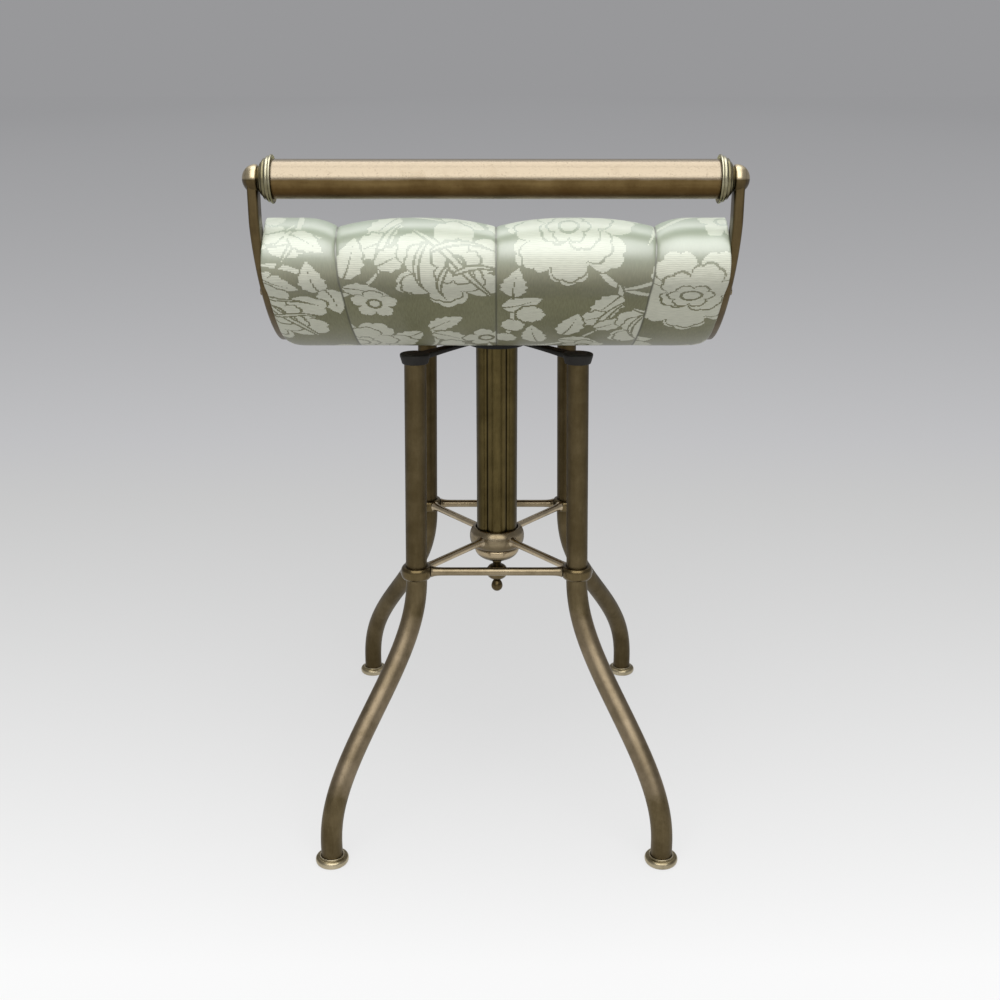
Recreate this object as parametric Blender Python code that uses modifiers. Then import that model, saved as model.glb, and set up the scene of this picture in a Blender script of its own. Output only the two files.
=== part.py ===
"""Music stool: a tubular brass stand, a reeded column with a rising screw and a scooped, channelled seat with a grip rail.

Metres, +Z up. The origin is on the floor under the column's axis. The grip rail is on the -Y side, the seat's back.
"""

import math

import bmesh
import bpy
from mathutils import Vector

# Driving dimensions, in metres unless a name says otherwise
CLEARANCE = 0.0003  # between pieces that touch
RUNNING_CLEARANCE = 0.00045  # between the screw's thread and its nut

LEG_RADIUS = 0.0095
LEG_WALL = 0.0015
LEG_TOP_HALF_X = 0.0700
LEG_TOP_HALF_Y = 0.0945
COLLAR_HALF_X = 0.0725
COLLAR_HALF_Y = 0.0979
FOOT_HALF_X = 0.1467
FOOT_HALF_Y = 0.1923
FOOT_RADIUS = 0.0147
FOOT_HEIGHT = 0.0095
FOOT_FLOOR = 0.0035
FOOT_STRAIGHT = 0.018  # length of leg that stands upright in the foot
BEND_DROP = 0.004  # from the stretchers' height down to the start of the leg's bend
STRETCHER_HEIGHT = 0.241
STRETCHER_RADIUS = 0.0038
SPOKE_RADIUS = 0.0034
COLLAR_RADIUS = 0.0140
COLLAR_LENGTH = 0.0110
GRUB_RADIUS = 0.0014
GRUB_PROUD = 0.0006

COLUMN_CREST = 0.0205  # radius over the reeds
COLUMN_GROOVE = 0.0174  # radius at the grooves between the reeds
COLUMN_WALL = 0.0014
REEDS = 6
COLUMN_DROP = 0.0090  # from the stretchers' height down to the column's foot
HUB_RADIUS = 0.0265
HUB_LENGTH = 0.0190
CAP_RADIUS = 0.0216
CAP_LENGTH = 0.0150
FINIAL_DOME_RADIUS = 0.0104
FINIAL_DROP_RADIUS = 0.0052
FINIAL_LENGTH = 0.0330
STUD_RADIUS = 0.0025
PLUG_LENGTH = 0.0070

SPIDER_TOP = 0.4412
SOCKET_LENGTH = 0.0087
SOCKET_RADIUS = 0.0133
SOCKET_COVER = 0.0030  # iron over the top of each leg
BOSS_RADIUS = 0.0268
BOSS_LENGTH = 0.0112
COLUMN_SEATING = 0.0042  # depth of the column in the boss
ARM_WIDTH = 0.0110
ARM_THIN = 0.55  # the arms' depth by the boss, as a share of that at the sockets
ARM_SHARE = 0.75  # the arms' depth as a share of the sockets' length
CAST_STEP = 0.0005  # how far the arms and the sockets lie below the boss

SCREW_CREST = 0.0112
SCREW_ROOT = 0.0092
SCREW_LEAD = 0.0125
NUT_LENGTH = 0.0340
NUT_RADIUS = 0.0153
NUT_FLANGE_RADIUS = 0.0220
NUT_FLANGE = 0.0036
NUT_SCREW_RADIUS = 0.0012
NUT_SCREW_LENGTH = 0.0062
SHAFT_RADIUS = 0.0085
SHAFT_LENGTH = 0.0420
JOURNAL_RADIUS = 0.0055
GUIDE_LENGTH = 0.0120
WASHER_THICKNESS = 0.0020
WASHER_RADIUS = 0.0095
HEX_THICKNESS = 0.0032
HEX_ACROSS = 0.0170
JOURNAL_END = 0.0015  # journal showing below its nut
GUIDE_REST = 0.0021  # between the journal and the stud when the seat is at its lowest

THRUST_RADIUS = 0.0245
THRUST_THICKNESS = 0.0020
PLATE_RADIUS = 0.0600
PLATE_THICKNESS = 0.0046
PLATE_SCREW_CIRCLE = 0.0480
PLATE_SCREW_RADIUS = 0.0018
PLATE_SCREW_LENGTH = 0.0120
TENON_RADIUS = 0.0075

SEAT_HALF_WIDTH = 0.1743
SEAT_FRONT = 0.2245
SEAT_THICKNESS = 0.0495
NOSE_LENGTH = 0.0370
SITTING_CROWN = 0.0030
BACK_START = 0.1000  # distance behind the axis where the flat bottom starts to rise
BACK_RUN = 0.1200
BACK_RISE = 0.1150
BACK_ROUNDNESS = 1.5  # exponent of the back's curve
RIM_SHOULDER = 0.0965  # height of the padded rim's shoulder above the flat bottom
RIM_HALF = 0.0235
RIM_CROWN = 0.0178
HOLLOW_START = 0.0930  # distance behind the axis where the sitting surface starts to rise
SEAM_OFFSET = 0.1210  # the outer sewn seams, to each side of the middle one
CHANNEL_DEPTH = 0.0065
BACK_SEWN = 0.25  # the seams' depth on the back, as a share of that on the rim
SIDE_DRAW = 0.0050
BOARD_THICKNESS = 0.0100
BOARD_INSET = 0.0060  # padding behind the upright part of the board
BOARD_FRONT = 0.1900
BOARD_TOP_SHARE = 0.80  # how far up the back's curve the board reaches
BOARD_RAMP = 0.0500  # length over which the board leaves the flat bottom
PAD_EDGE = 0.0850  # distance behind the axis of the outer pad's lower edge

STRAP_THICKNESS = 0.0080
STRAP_WIDTH = 0.0160
STRAP_INSET = 0.0050
STRAP_FRONT = 0.1000
STRAP_SCREW_RADIUS = 0.0017
STRAP_SCREW_LENGTH = 0.0220
SCREW_HEAD_RADIUS = 0.0036
SCREW_HEAD = 0.0014
RAIL_HEIGHT = 0.1445  # rail axis above the flat bottom
RAIL_RADIUS = 0.0143
RAIL_WALL = 0.0012
RAIL_ROD_RADIUS = 0.0040
EYE_RADIUS = 0.0106
CUP_RADIUS = 0.0175
CUP_BEAD_RADIUS = 0.0148
CUP_LENGTH = 0.0110
CUP_RECESS = 0.0040
DOME_NUT_LENGTH = 0.0040
DOME_NUT_COVER = 0.0018

ROUND_STEPS = 16
TUBE_BEVEL = 4  # gives 12 sides
THREAD_STEPS = 16

# Places worked out from the driving dimensions
ARM_DEPTH = SOCKET_LENGTH * ARM_SHARE
LEG_TOP = SPIDER_TOP - CAST_STEP - SOCKET_COVER - CLEARANCE
COLUMN_TOP = SPIDER_TOP - BOSS_LENGTH + COLUMN_SEATING - CLEARANCE
COLUMN_FOOT = STRETCHER_HEIGHT - COLUMN_DROP
HUB_FOOT = STRETCHER_HEIGHT - HUB_LENGTH / 2
CAP_TOP = min(COLUMN_FOOT, HUB_FOOT) - CLEARANCE
CAP_FOOT = CAP_TOP - CAP_LENGTH
FINIAL_TOP = CAP_FOOT - CLEARANCE
PLUG_FOOT = CAP_TOP + CLEARANCE
PLUG_TOP = PLUG_FOOT + PLUG_LENGTH
STUD_NUT_FOOT = PLUG_TOP + CLEARANCE
STUD_TOP = STUD_NUT_FOOT + HEX_THICKNESS + JOURNAL_END
THRUST_FOOT = SPIDER_TOP + CLEARANCE
PLATE_FOOT = THRUST_FOOT + THRUST_THICKNESS + CLEARANCE
SEAT_BOTTOM = PLATE_FOOT + PLATE_THICKNESS + CLEARANCE
NUT_FOOT = SPIDER_TOP - NUT_LENGTH
JOURNAL_FOOT = STUD_TOP + GUIDE_REST
GUIDE_NUT_FOOT = JOURNAL_FOOT + JOURNAL_END
GUIDE_WASHER_FOOT = GUIDE_NUT_FOOT + HEX_THICKNESS + CLEARANCE
GUIDE_FOOT = GUIDE_WASHER_FOOT + WASHER_THICKNESS + CLEARANCE
GUIDE_TOP = GUIDE_FOOT + GUIDE_LENGTH
SHAFT_FOOT = GUIDE_TOP + CLEARANCE
THREAD_FOOT = SHAFT_FOOT + SHAFT_LENGTH  # the seat can rise until this comes to the nut
RAIL_Y = -(BACK_START + BACK_RUN) + STRAP_INSET + STRAP_WIDTH / 2
RAIL_Z = SEAT_BOTTOM + RAIL_HEIGHT
STRAP_FACE = SEAT_HALF_WIDTH + CLEARANCE
STRAP_OUTSIDE = STRAP_FACE + STRAP_THICKNESS
CUP_FACE = STRAP_FACE - CLEARANCE
CUP_MOUTH = CUP_FACE - CUP_LENGTH
RAIL_END = CUP_MOUTH + CUP_RECESS - CLEARANCE

BRASS = ((0.26, 0.18, 0.075), 0.34, 1.0)
PALE_BRASS = ((0.50, 0.44, 0.30), 0.28, 1.0)
IRON = ((0.022, 0.021, 0.020), 0.62, 0.6)
STEEL = ((0.30, 0.29, 0.27), 0.42, 1.0)
BEECH = ((0.34, 0.21, 0.10), 0.60, 0.0)
DAMASK = ((0.33, 0.34, 0.25), 0.55, 0.0)


def clear_scene():
    for obj in list(bpy.data.objects):
        bpy.data.objects.remove(obj, do_unlink=True)


def collection(name):
    made = bpy.data.collections.new(name)
    bpy.context.scene.collection.children.link(made)
    return made


clear_scene()
stool = collection("music_stool")
cutters = collection("cutters")


def empty(name, parent=None):
    """An empty on the column's axis, which carries the pieces that move together."""
    obj = bpy.data.objects.new(name, None)
    obj.parent = parent
    stool.objects.link(obj)
    return obj


stand = empty("stand")
riser = empty("riser", stand)
seat = empty("seat", riser)


def finish(obj, name, look, carrier, sharp_deg=40):
    """Gives a piece its name, its own material, its carrier and smooth shading."""
    colour, roughness, metallic = look
    material = bpy.data.materials.new(name)
    material.use_nodes = True
    shader = material.node_tree.nodes["Principled BSDF"]
    shader.inputs["Base Color"].default_value = (*colour, 1)
    shader.inputs["Roughness"].default_value = roughness
    shader.inputs["Metallic"].default_value = metallic
    obj.name = obj.data.name = name
    obj.data.materials.append(material)
    obj.parent = carrier
    stool.objects.link(obj)
    if obj.type == "MESH":
        obj.data.shade_smooth()
        obj.data.set_sharp_from_angle(angle=math.radians(sharp_deg))
    return obj


def mesh_object(bm):
    mesh = bpy.data.meshes.new("mesh")
    bm.to_mesh(mesh)
    bm.free()
    return bpy.data.objects.new("mesh", mesh)


def as_mesh(obj):
    """A mesh copy of an object as its modifiers or its curve make it. The object itself is removed."""
    stool.objects.link(obj)
    bpy.context.view_layer.update()
    mesh = bpy.data.meshes.new_from_object(obj.evaluated_get(bpy.context.evaluated_depsgraph_get()))
    made = bpy.data.objects.new("mesh", mesh)
    made.matrix_world = obj.matrix_world
    bpy.data.objects.remove(obj, do_unlink=True)
    bm = bmesh.new()
    bm.from_mesh(mesh)
    bmesh.ops.remove_doubles(bm, verts=bm.verts, dist=1e-6)
    bm.to_mesh(mesh)
    bm.free()
    return made


def turned(profile, ring=False, place=(0, 0, 0), turn=(0, 0, 0), steps=ROUND_STEPS):
    """A profile of (radius, height) points, down its outer side, swept round the local Z axis."""
    mesh = bpy.data.meshes.new("profile")
    last = len(profile) - 1
    edges = [(k, k + 1) for k in range(last)] + ([(last, 0)] if ring else [])
    mesh.from_pydata([(r, 0, z) for r, z in profile], edges, [])
    obj = bpy.data.objects.new("profile", mesh)
    screw = obj.modifiers.new("turn", "SCREW")
    screw.axis = "Z"
    screw.angle = math.tau
    screw.steps = screw.render_steps = steps
    screw.use_merge_vertices = True
    screw.merge_threshold = 1e-5
    screw.use_smooth_shade = True
    obj.location = place
    obj.rotation_euler = turn
    return obj


def rod(start, end, radius, sides=12):
    """A capped cylinder between two points."""
    start, end = Vector(start), Vector(end)
    bm = bmesh.new()
    bmesh.ops.create_cone(bm, cap_ends=True, segments=sides, radius1=radius, radius2=radius, depth=(end - start).length)
    obj = mesh_object(bm)
    obj.location = (start + end) / 2
    obj.rotation_euler = (end - start).to_track_quat("Z", "Y").to_euler()
    return obj


def joined(objects):
    """One mesh of several separate bodies, with their places in the mesh."""
    bm = bmesh.new()
    for obj in objects:
        piece = obj.data.copy()
        piece.transform(obj.matrix_basis)
        bm.from_mesh(piece)
        bpy.data.meshes.remove(piece)
        bpy.data.objects.remove(obj, do_unlink=True)
    return mesh_object(bm)


def cut(obj, cutter, name, operation="DIFFERENCE"):
    """A Boolean whose other shape stays in the cutters' collection, out of the render."""
    cutter.name = name
    cutters.objects.link(cutter)
    cutter.hide_render = True
    cutter.display_type = "WIRE"
    modifier = obj.modifiers.new(name, "BOOLEAN")
    modifier.operation = operation
    modifier.object = cutter


def ring_points(radius, count=ROUND_STEPS, centre=(0, 0)):
    turns = [math.tau * k / count for k in range(count)]
    return [(centre[0] + radius * math.cos(a), centre[1] + radius * math.sin(a)) for a in turns]


def flat_piece(outline, holes, thickness, place=(0, 0, 0), turn=(0, 0, 0)):
    """A flat outline with holes, its thickness centred on its own plane."""
    curve = bpy.data.curves.new("outline", "CURVE")
    curve.dimensions = "2D"
    curve.fill_mode = "BOTH"
    curve.extrude = thickness / 2
    for points in [outline, *holes]:
        spline = curve.splines.new("POLY")
        spline.points.add(len(points) - 1)
        for point, (x, y) in zip(spline.points, points):
            point.co = (x, y, 0, 1)
        spline.use_cyclic_u = True
    obj = bpy.data.objects.new("outline", curve)
    obj.location = place
    obj.rotation_euler = turn
    return as_mesh(obj)


ACROSS = (math.pi / 2, 0, math.pi / 2)  # turns a flat piece so that its outline lies in Y and Z


def pipe(points, radius, wall):
    """A tube with open ends along a path."""
    curve = bpy.data.curves.new("path", "CURVE")
    curve.dimensions = "3D"
    curve.bevel_depth = radius
    curve.bevel_resolution = TUBE_BEVEL
    spline = curve.splines.new("POLY")
    spline.points.add(len(points) - 1)
    for point, place in zip(spline.points, points):
        point.co = (*place, 1)
    obj = as_mesh(bpy.data.objects.new("path", curve))
    shell = obj.modifiers.new("wall", "SOLIDIFY")
    shell.thickness = wall
    shell.offset = -1
    return obj


def corners():
    """The four legs: a name, and which way each lies from the axis."""
    for depth, sy in (("back", -1), ("front", 1)):
        for side, sx in (("left", -1), ("right", 1)):
            yield f"{depth}_{side}", sx, sy


# The stand's legs, feet, collars, stretchers and spokes


def leg_path(sx, sy):
    """Up the foot, along the double bend, then straight to the spider."""
    bend_top = STRETCHER_HEIGHT - BEND_DROP
    tube_foot = FOOT_FLOOR + CLEARANCE
    points = [(FOOT_HALF_X, FOOT_HALF_Y, tube_foot)]
    steps = 10
    for k in range(steps + 1):
        rise = k / steps
        soft = rise**2 * (3 - 2 * rise)
        softer = rise**3 * (10 - 15 * rise + 6 * rise**2)
        share = (soft + softer) / 2
        height = FOOT_STRAIGHT + (bend_top - FOOT_STRAIGHT) * rise
        x = FOOT_HALF_X + (COLLAR_HALF_X - FOOT_HALF_X) * share
        y = FOOT_HALF_Y + (COLLAR_HALF_Y - FOOT_HALF_Y) * share
        points.append((x, y, height))
    points.append((COLLAR_HALF_X, COLLAR_HALF_Y, STRETCHER_HEIGHT + COLLAR_LENGTH))
    points.append((LEG_TOP_HALF_X, LEG_TOP_HALF_Y, SPIDER_TOP - SOCKET_LENGTH - CAST_STEP))
    points.append((LEG_TOP_HALF_X, LEG_TOP_HALF_Y, LEG_TOP))
    return [(sx * x, sy * y, z) for x, y, z in points]


def foot_profile():
    """A domed ferrule: a flat sole, a round shoulder and a lip round the tube."""
    bore = LEG_RADIUS + CLEARANCE
    lip = bore + (FOOT_RADIUS - bore) * 0.25
    sole = FOOT_RADIUS - (FOOT_RADIUS - bore) * 0.35
    points = [(0, FOOT_FLOOR), (bore, FOOT_FLOOR), (bore, FOOT_HEIGHT), (lip, FOOT_HEIGHT)]
    for k in range(1, 6):
        a = math.pi / 2 * (1 - k / 3)
        half = FOOT_HEIGHT * 0.44
        points.append((sole + (FOOT_RADIUS - sole) * math.cos(a), half + half * math.sin(a)))
    return [*points, (sole, 0), (0, 0)]


def round_edged(bore, radius, length, bulge):
    """The section of a ring whose outer face is rounded, standing on its local zero height."""
    points = [(bore, length), (radius - bulge, length)]
    for k in range(1, 6):
        a = math.pi / 2 - math.pi * k / 6
        points.append((radius - bulge + bulge * math.cos(a), length / 2 * (1 + math.sin(a))))
    return [*points, (radius - bulge, 0), (bore, 0)]


for corner, sx, sy in corners():
    finish(pipe(leg_path(sx, sy), LEG_RADIUS, LEG_WALL), f"leg_{corner}", BRASS, stand)
    foot = turned(foot_profile(), place=(sx * FOOT_HALF_X, sy * FOOT_HALF_Y, 0))
    finish(foot, f"foot_{corner}", PALE_BRASS, stand)

    centre = Vector((sx * COLLAR_HALF_X, sy * COLLAR_HALF_Y, STRETCHER_HEIGHT))
    bore = LEG_RADIUS + CLEARANCE
    section = round_edged(bore, COLLAR_RADIUS, COLLAR_LENGTH, (COLLAR_RADIUS - bore) * 0.6)
    collar = as_mesh(turned(section, ring=True, place=centre - Vector((0, 0, COLLAR_LENGTH / 2))))
    outward = Vector((sx, 0, 0))
    hole = rod(centre, centre + outward * COLLAR_RADIUS * 1.5, GRUB_RADIUS + CLEARANCE, 8)
    cut(collar, hole, f"grub_hole_{corner}")
    finish(collar, f"collar_{corner}", BRASS, stand)
    grub_foot = centre + outward * (bore + CLEARANCE)
    grub_head = centre + outward * (COLLAR_RADIUS + GRUB_PROUD)
    finish(rod(grub_foot, grub_head, GRUB_RADIUS, 8), f"grub_screw_{corner}", STEEL, stand)

    inward = -Vector((centre.x, centre.y, 0)).normalized()
    spoke_start = centre + inward * (COLLAR_RADIUS + CLEARANCE)
    spoke_end = -inward * (HUB_RADIUS + CLEARANCE)
    spoke_end.z = STRETCHER_HEIGHT
    finish(rod(spoke_start, spoke_end, SPOKE_RADIUS), f"spoke_{corner}", BRASS, stand)

for depth, sy in (("back", -1), ("front", 1)):
    half = COLLAR_HALF_X - COLLAR_RADIUS - CLEARANCE
    ends = [(sx * half, sy * COLLAR_HALF_Y, STRETCHER_HEIGHT) for sx in (-1, 1)]
    finish(rod(*ends, STRETCHER_RADIUS), f"stretcher_{depth}", BRASS, stand)


# The column with its hub, cap and finial


def reeded(crest, groove, per_reed=5):
    """A round outline of convex reeds that meet in grooves, with one reed facing -Y."""
    points = []
    for k in range(REEDS * per_reed):
        a = math.tau * k / (REEDS * per_reed)
        swell = math.sqrt(abs(math.cos(REEDS / 2 * a)))
        radius = groove + (crest - groove) * swell
        points.append((radius * math.sin(a), -radius * math.cos(a)))
    return points


column = flat_piece(
    reeded(COLUMN_CREST, COLUMN_GROOVE),
    [reeded(COLUMN_CREST - COLUMN_WALL, COLUMN_GROOVE - COLUMN_WALL)],
    COLUMN_TOP - COLUMN_FOOT,
    place=(0, 0, (COLUMN_TOP + COLUMN_FOOT) / 2),
)
finish(column, "column_tube", BRASS, stand, 20)

hub_bore = COLUMN_CREST / math.cos(math.pi / ROUND_STEPS) + CLEARANCE  # the flats of the bore clear the reeds
hub = turned(round_edged(hub_bore, HUB_RADIUS, HUB_LENGTH, (HUB_RADIUS - hub_bore) * 0.85), ring=True, place=(0, 0, HUB_FOOT))
finish(hub, "hub_ring", PALE_BRASS, stand)

stud_bore = STUD_RADIUS + CLEARANCE
bowl = [(CAP_RADIUS * math.cos(a), CAP_LENGTH * (0.8 - 0.8 * math.sin(a))) for a in (math.radians(12 * k) for k in range(7))]
cap_profile = [(stud_bore, CAP_LENGTH), (CAP_RADIUS * 0.9, CAP_LENGTH), *bowl, (stud_bore, 0)]
finish(turned(cap_profile, ring=True, place=(0, 0, CAP_FOOT)), "column_cap", BRASS, stand)


def finial_profile():
    """A neck, a flat dome, a thin neck and a hanging drop, bored for the stud."""
    neck, waist = STUD_RADIUS * 1.7, FINIAL_DROP_RADIUS * 0.45
    depth = STUD_RADIUS * 3
    points = [(0, -depth), (stud_bore, -depth), (stud_bore, 0), (neck, 0), (neck, -FINIAL_LENGTH * 0.06)]
    for k in range(7):
        a = math.pi / 2 - math.pi * (k + 0.7) / 7.4
        points.append((neck + (FINIAL_DOME_RADIUS - neck) * math.cos(a), FINIAL_LENGTH * (-0.27 + 0.2 * math.sin(a))))
    points.append((waist, -FINIAL_LENGTH * 0.52))
    for k in range(6):
        a = math.pi / 3 - (math.pi / 3 + math.pi / 2) * k / 6
        points.append((FINIAL_DROP_RADIUS * math.cos(a), -FINIAL_LENGTH + FINIAL_DROP_RADIUS * (1 + 1.2 * max(0, math.sin(a)) + min(0, math.sin(a)))))
    return [*points, (0, -FINIAL_LENGTH)]


finish(turned(finial_profile(), place=(0, 0, FINIAL_TOP)), "finial", BRASS, stand)
stud_foot = FINIAL_TOP - STUD_RADIUS * 3 + CLEARANCE
finish(rod((0, 0, stud_foot), (0, 0, STUD_TOP), STUD_RADIUS), "finial_stud", STEEL, stand)

plug_radius = COLUMN_GROOVE - COLUMN_WALL - CLEARANCE
plug = flat_piece(ring_points(plug_radius), [ring_points(stud_bore, 12)], PLUG_LENGTH, place=(0, 0, (PLUG_FOOT + PLUG_TOP) / 2))
finish(plug, "column_plug", BEECH, stand)


def hex_nut(bore, foot):
    across = HEX_ACROSS / math.sqrt(3)
    return flat_piece(ring_points(across, 6), [ring_points(bore, 12)], HEX_THICKNESS, place=(0, 0, foot + HEX_THICKNESS / 2))


finish(hex_nut(stud_bore, STUD_NUT_FOOT), "stud_nut", STEEL, stand)


# The iron spider on top of the legs

socket_profile = [
    (0, SOCKET_LENGTH),
    (SOCKET_RADIUS * 0.94, SOCKET_LENGTH),
    (SOCKET_RADIUS, SOCKET_LENGTH * 0.86),
    (LEG_RADIUS + (SOCKET_RADIUS - LEG_RADIUS) * 0.4, 0),
    (0, 0),
]
sockets, leg_bores = [], []
for _, sx, sy in corners():
    top = Vector((sx * LEG_TOP_HALF_X, sy * LEG_TOP_HALF_Y, SPIDER_TOP - CAST_STEP))
    sockets.append(as_mesh(turned(socket_profile, place=top - Vector((0, 0, SOCKET_LENGTH)))))
    leg_bores.append(rod(top - Vector((0, 0, SOCKET_LENGTH * 2)), top - Vector((0, 0, SOCKET_COVER)), LEG_RADIUS + CLEARANCE))


def arm_bar(reach, top, angle):
    """Two arms in one line across the boss. Their undersides are hollowed, thin by the boss and deep at the sockets."""
    steps = 12
    under = []
    for k in range(steps + 1):
        along = 2 * k / steps - 1
        depth = ARM_DEPTH * (ARM_THIN + (1 - ARM_THIN) * abs(along) ** 2.5)
        under.append((reach * along, top - depth))
    outline = [*under, (reach, top), (-reach, top)]
    return flat_piece(outline, [], ARM_WIDTH, turn=(math.pi / 2, 0, angle))


spider = rod((0, 0, SPIDER_TOP - BOSS_LENGTH), (0, 0, SPIDER_TOP), BOSS_RADIUS, 32)
for n, slant in enumerate((1, -1)):
    reach = Vector((LEG_TOP_HALF_X, slant * LEG_TOP_HALF_Y, 0))
    arm = arm_bar(reach.length, SPIDER_TOP - CAST_STEP * (2 + n), math.atan2(reach.y, reach.x))
    cut(spider, arm, f"spider_arm_{n}", "UNION")
cut(spider, joined(sockets), "spider_sockets", "UNION")
cut(spider, joined(leg_bores), "spider_leg_bores")

nut_hole = NUT_RADIUS + CLEARANCE
column_hole = COLUMN_CREST + CLEARANCE
flange_hole = NUT_FLANGE_RADIUS + CLEARANCE
flange_floor = SPIDER_TOP - NUT_FLANGE - CLEARANCE * 2
over, under = SPIDER_TOP + NUT_FLANGE, SPIDER_TOP - BOSS_LENGTH * 2
seating = SPIDER_TOP - BOSS_LENGTH + COLUMN_SEATING
core = [(0, over), (flange_hole, over), (flange_hole, flange_floor), (nut_hole, flange_floor)]
core += [(nut_hole, seating), (column_hole, seating), (column_hole, under), (0, under)]
cut(spider, as_mesh(turned(core, steps=32)), "spider_core")


def nut_screws(radius, head, length):
    """Three screws through the nut's flange, as separate bodies."""
    circle = (NUT_RADIUS + NUT_FLANGE_RADIUS) / 2
    made = []
    for k in range(3):
        a = math.tau * k / 3 + math.pi / 2
        x, y = circle * math.cos(a), circle * math.sin(a)
        made.append(rod((x, y, head - length), (x, y, head), radius, 8))
    return made


nut_top = SPIDER_TOP - CLEARANCE
screw_reach = NUT_SCREW_LENGTH + over - nut_top + CLEARANCE
cut(spider, joined(nut_screws(NUT_SCREW_RADIUS + CLEARANCE, over, screw_reach)), "spider_screw_holes")
finish(spider, "top_spider", IRON, stand)
for n, screw in enumerate(nut_screws(NUT_SCREW_RADIUS, nut_top, NUT_SCREW_LENGTH), 1):
    finish(screw, f"nut_screw_{n}", STEEL, stand)


# The rising screw: spindle, nut and keyed guide


def thread(foot, top, swell):
    """A right-handed thread between two heights. swell widens it all round, for the nut's cut."""
    crest, root = SCREW_CREST + swell, SCREW_ROOT + swell
    shares = (0.0, 0.30 - swell / SCREW_LEAD, 0.45 - swell / SCREW_LEAD, 0.85 + swell / SCREW_LEAD, 1.0 + swell / SCREW_LEAD)
    radii = (root, root, crest, crest, root)
    mesh = bpy.data.meshes.new("thread")
    heights = [(s - shares[4] + 1) * SCREW_LEAD if k else 0 for k, s in enumerate(shares)]
    mesh.from_pydata([(r, 0, z) for r, z in zip(radii, heights)], [(k, k + 1) for k in range(4)], [])
    obj = bpy.data.objects.new("thread", mesh)
    screw = obj.modifiers.new("thread", "SCREW")
    screw.axis = "Z"
    screw.angle = math.tau
    screw.screw_offset = SCREW_LEAD
    screw.steps = screw.render_steps = THREAD_STEPS
    below = math.ceil((SPIDER_TOP - foot) / SCREW_LEAD) + 2
    screw.iterations = below + math.ceil((top - SPIDER_TOP) / SCREW_LEAD) + 3
    obj.location.z = SPIDER_TOP - below * SCREW_LEAD + swell
    made = as_mesh(obj)
    bm = bmesh.new()
    bm.from_mesh(made.data)
    bm.transform(made.matrix_world)
    bpy.data.objects.remove(made, do_unlink=True)
    for height, outside in ((foot, (0, 0, -1)), (top, (0, 0, 1))):
        everything = [*bm.verts, *bm.edges, *bm.faces]
        bmesh.ops.bisect_plane(bm, geom=everything, plane_co=(0, 0, height), plane_no=outside, clear_outer=True)
    bmesh.ops.holes_fill(bm, edges=[e for e in bm.edges if e.is_boundary])
    bmesh.ops.recalc_face_normals(bm, faces=bm.faces)
    return mesh_object(bm)


spindle = thread(THREAD_FOOT, PLATE_FOOT - CLEARANCE, 0)
neck = CLEARANCE * 5  # how far a plain length runs into the thread
tenon_top = SEAT_BOTTOM - CLEARANCE
cut(spindle, rod((0, 0, PLATE_FOOT - CLEARANCE - neck), (0, 0, tenon_top), TENON_RADIUS, 16), "spindle_tenon", "UNION")
shaft = [(0, THREAD_FOOT + neck), (SHAFT_RADIUS, THREAD_FOOT + neck), (SHAFT_RADIUS, SHAFT_FOOT)]
shaft += [(JOURNAL_RADIUS, SHAFT_FOOT), (JOURNAL_RADIUS, JOURNAL_FOOT), (0, JOURNAL_FOOT)]
cut(spindle, as_mesh(turned(shaft, steps=16)), "spindle_shaft", "UNION")
finish(spindle, "screw_spindle", STEEL, seat)

nut_profile = [(0, nut_top), (NUT_FLANGE_RADIUS, nut_top), (NUT_FLANGE_RADIUS, nut_top - NUT_FLANGE)]
nut_profile += [(NUT_RADIUS, nut_top - NUT_FLANGE), (NUT_RADIUS, NUT_FOOT), (0, NUT_FOOT)]
nut = as_mesh(turned(nut_profile, steps=24))
cut(nut, thread(NUT_FOOT - SCREW_LEAD, nut_top + SCREW_LEAD, RUNNING_CLEARANCE), "nut_thread")
cut(nut, joined(nut_screws(NUT_SCREW_RADIUS + CLEARANCE, over, screw_reach)), "nut_screw_holes")
finish(nut, "spindle_nut", BRASS, stand)

guide_slack = COLUMN_WALL + CLEARANCE
journal_bore = JOURNAL_RADIUS + CLEARANCE
guide = flat_piece(
    reeded(COLUMN_CREST - guide_slack, COLUMN_GROOVE - guide_slack),
    [ring_points(journal_bore, 16)],
    GUIDE_LENGTH,
    place=(0, 0, (GUIDE_TOP + GUIDE_FOOT) / 2),
)
finish(guide, "spindle_guide", BEECH, riser, 20)

washer_middle = (0, 0, GUIDE_WASHER_FOOT + WASHER_THICKNESS / 2)
guide_washer = flat_piece(ring_points(WASHER_RADIUS), [ring_points(journal_bore, 16)], WASHER_THICKNESS, place=washer_middle)
finish(guide_washer, "guide_washer", STEEL, seat)
finish(hex_nut(journal_bore, GUIDE_NUT_FOOT), "guide_nut", STEEL, seat)

thrust_middle = (0, 0, THRUST_FOOT + THRUST_THICKNESS / 2)
thrust_bore = SCREW_CREST + RUNNING_CLEARANCE
thrust = flat_piece(ring_points(THRUST_RADIUS, 24), [ring_points(thrust_bore, 24)], THRUST_THICKNESS, place=thrust_middle)
finish(thrust, "thrust_washer", STEEL, stand)


# The seat's plate, board and padding


def plate_screw_places():
    for k in range(4):
        a = math.tau * (k + 0.5) / 4
        yield PLATE_SCREW_CIRCLE * math.cos(a), PLATE_SCREW_CIRCLE * math.sin(a)


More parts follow.
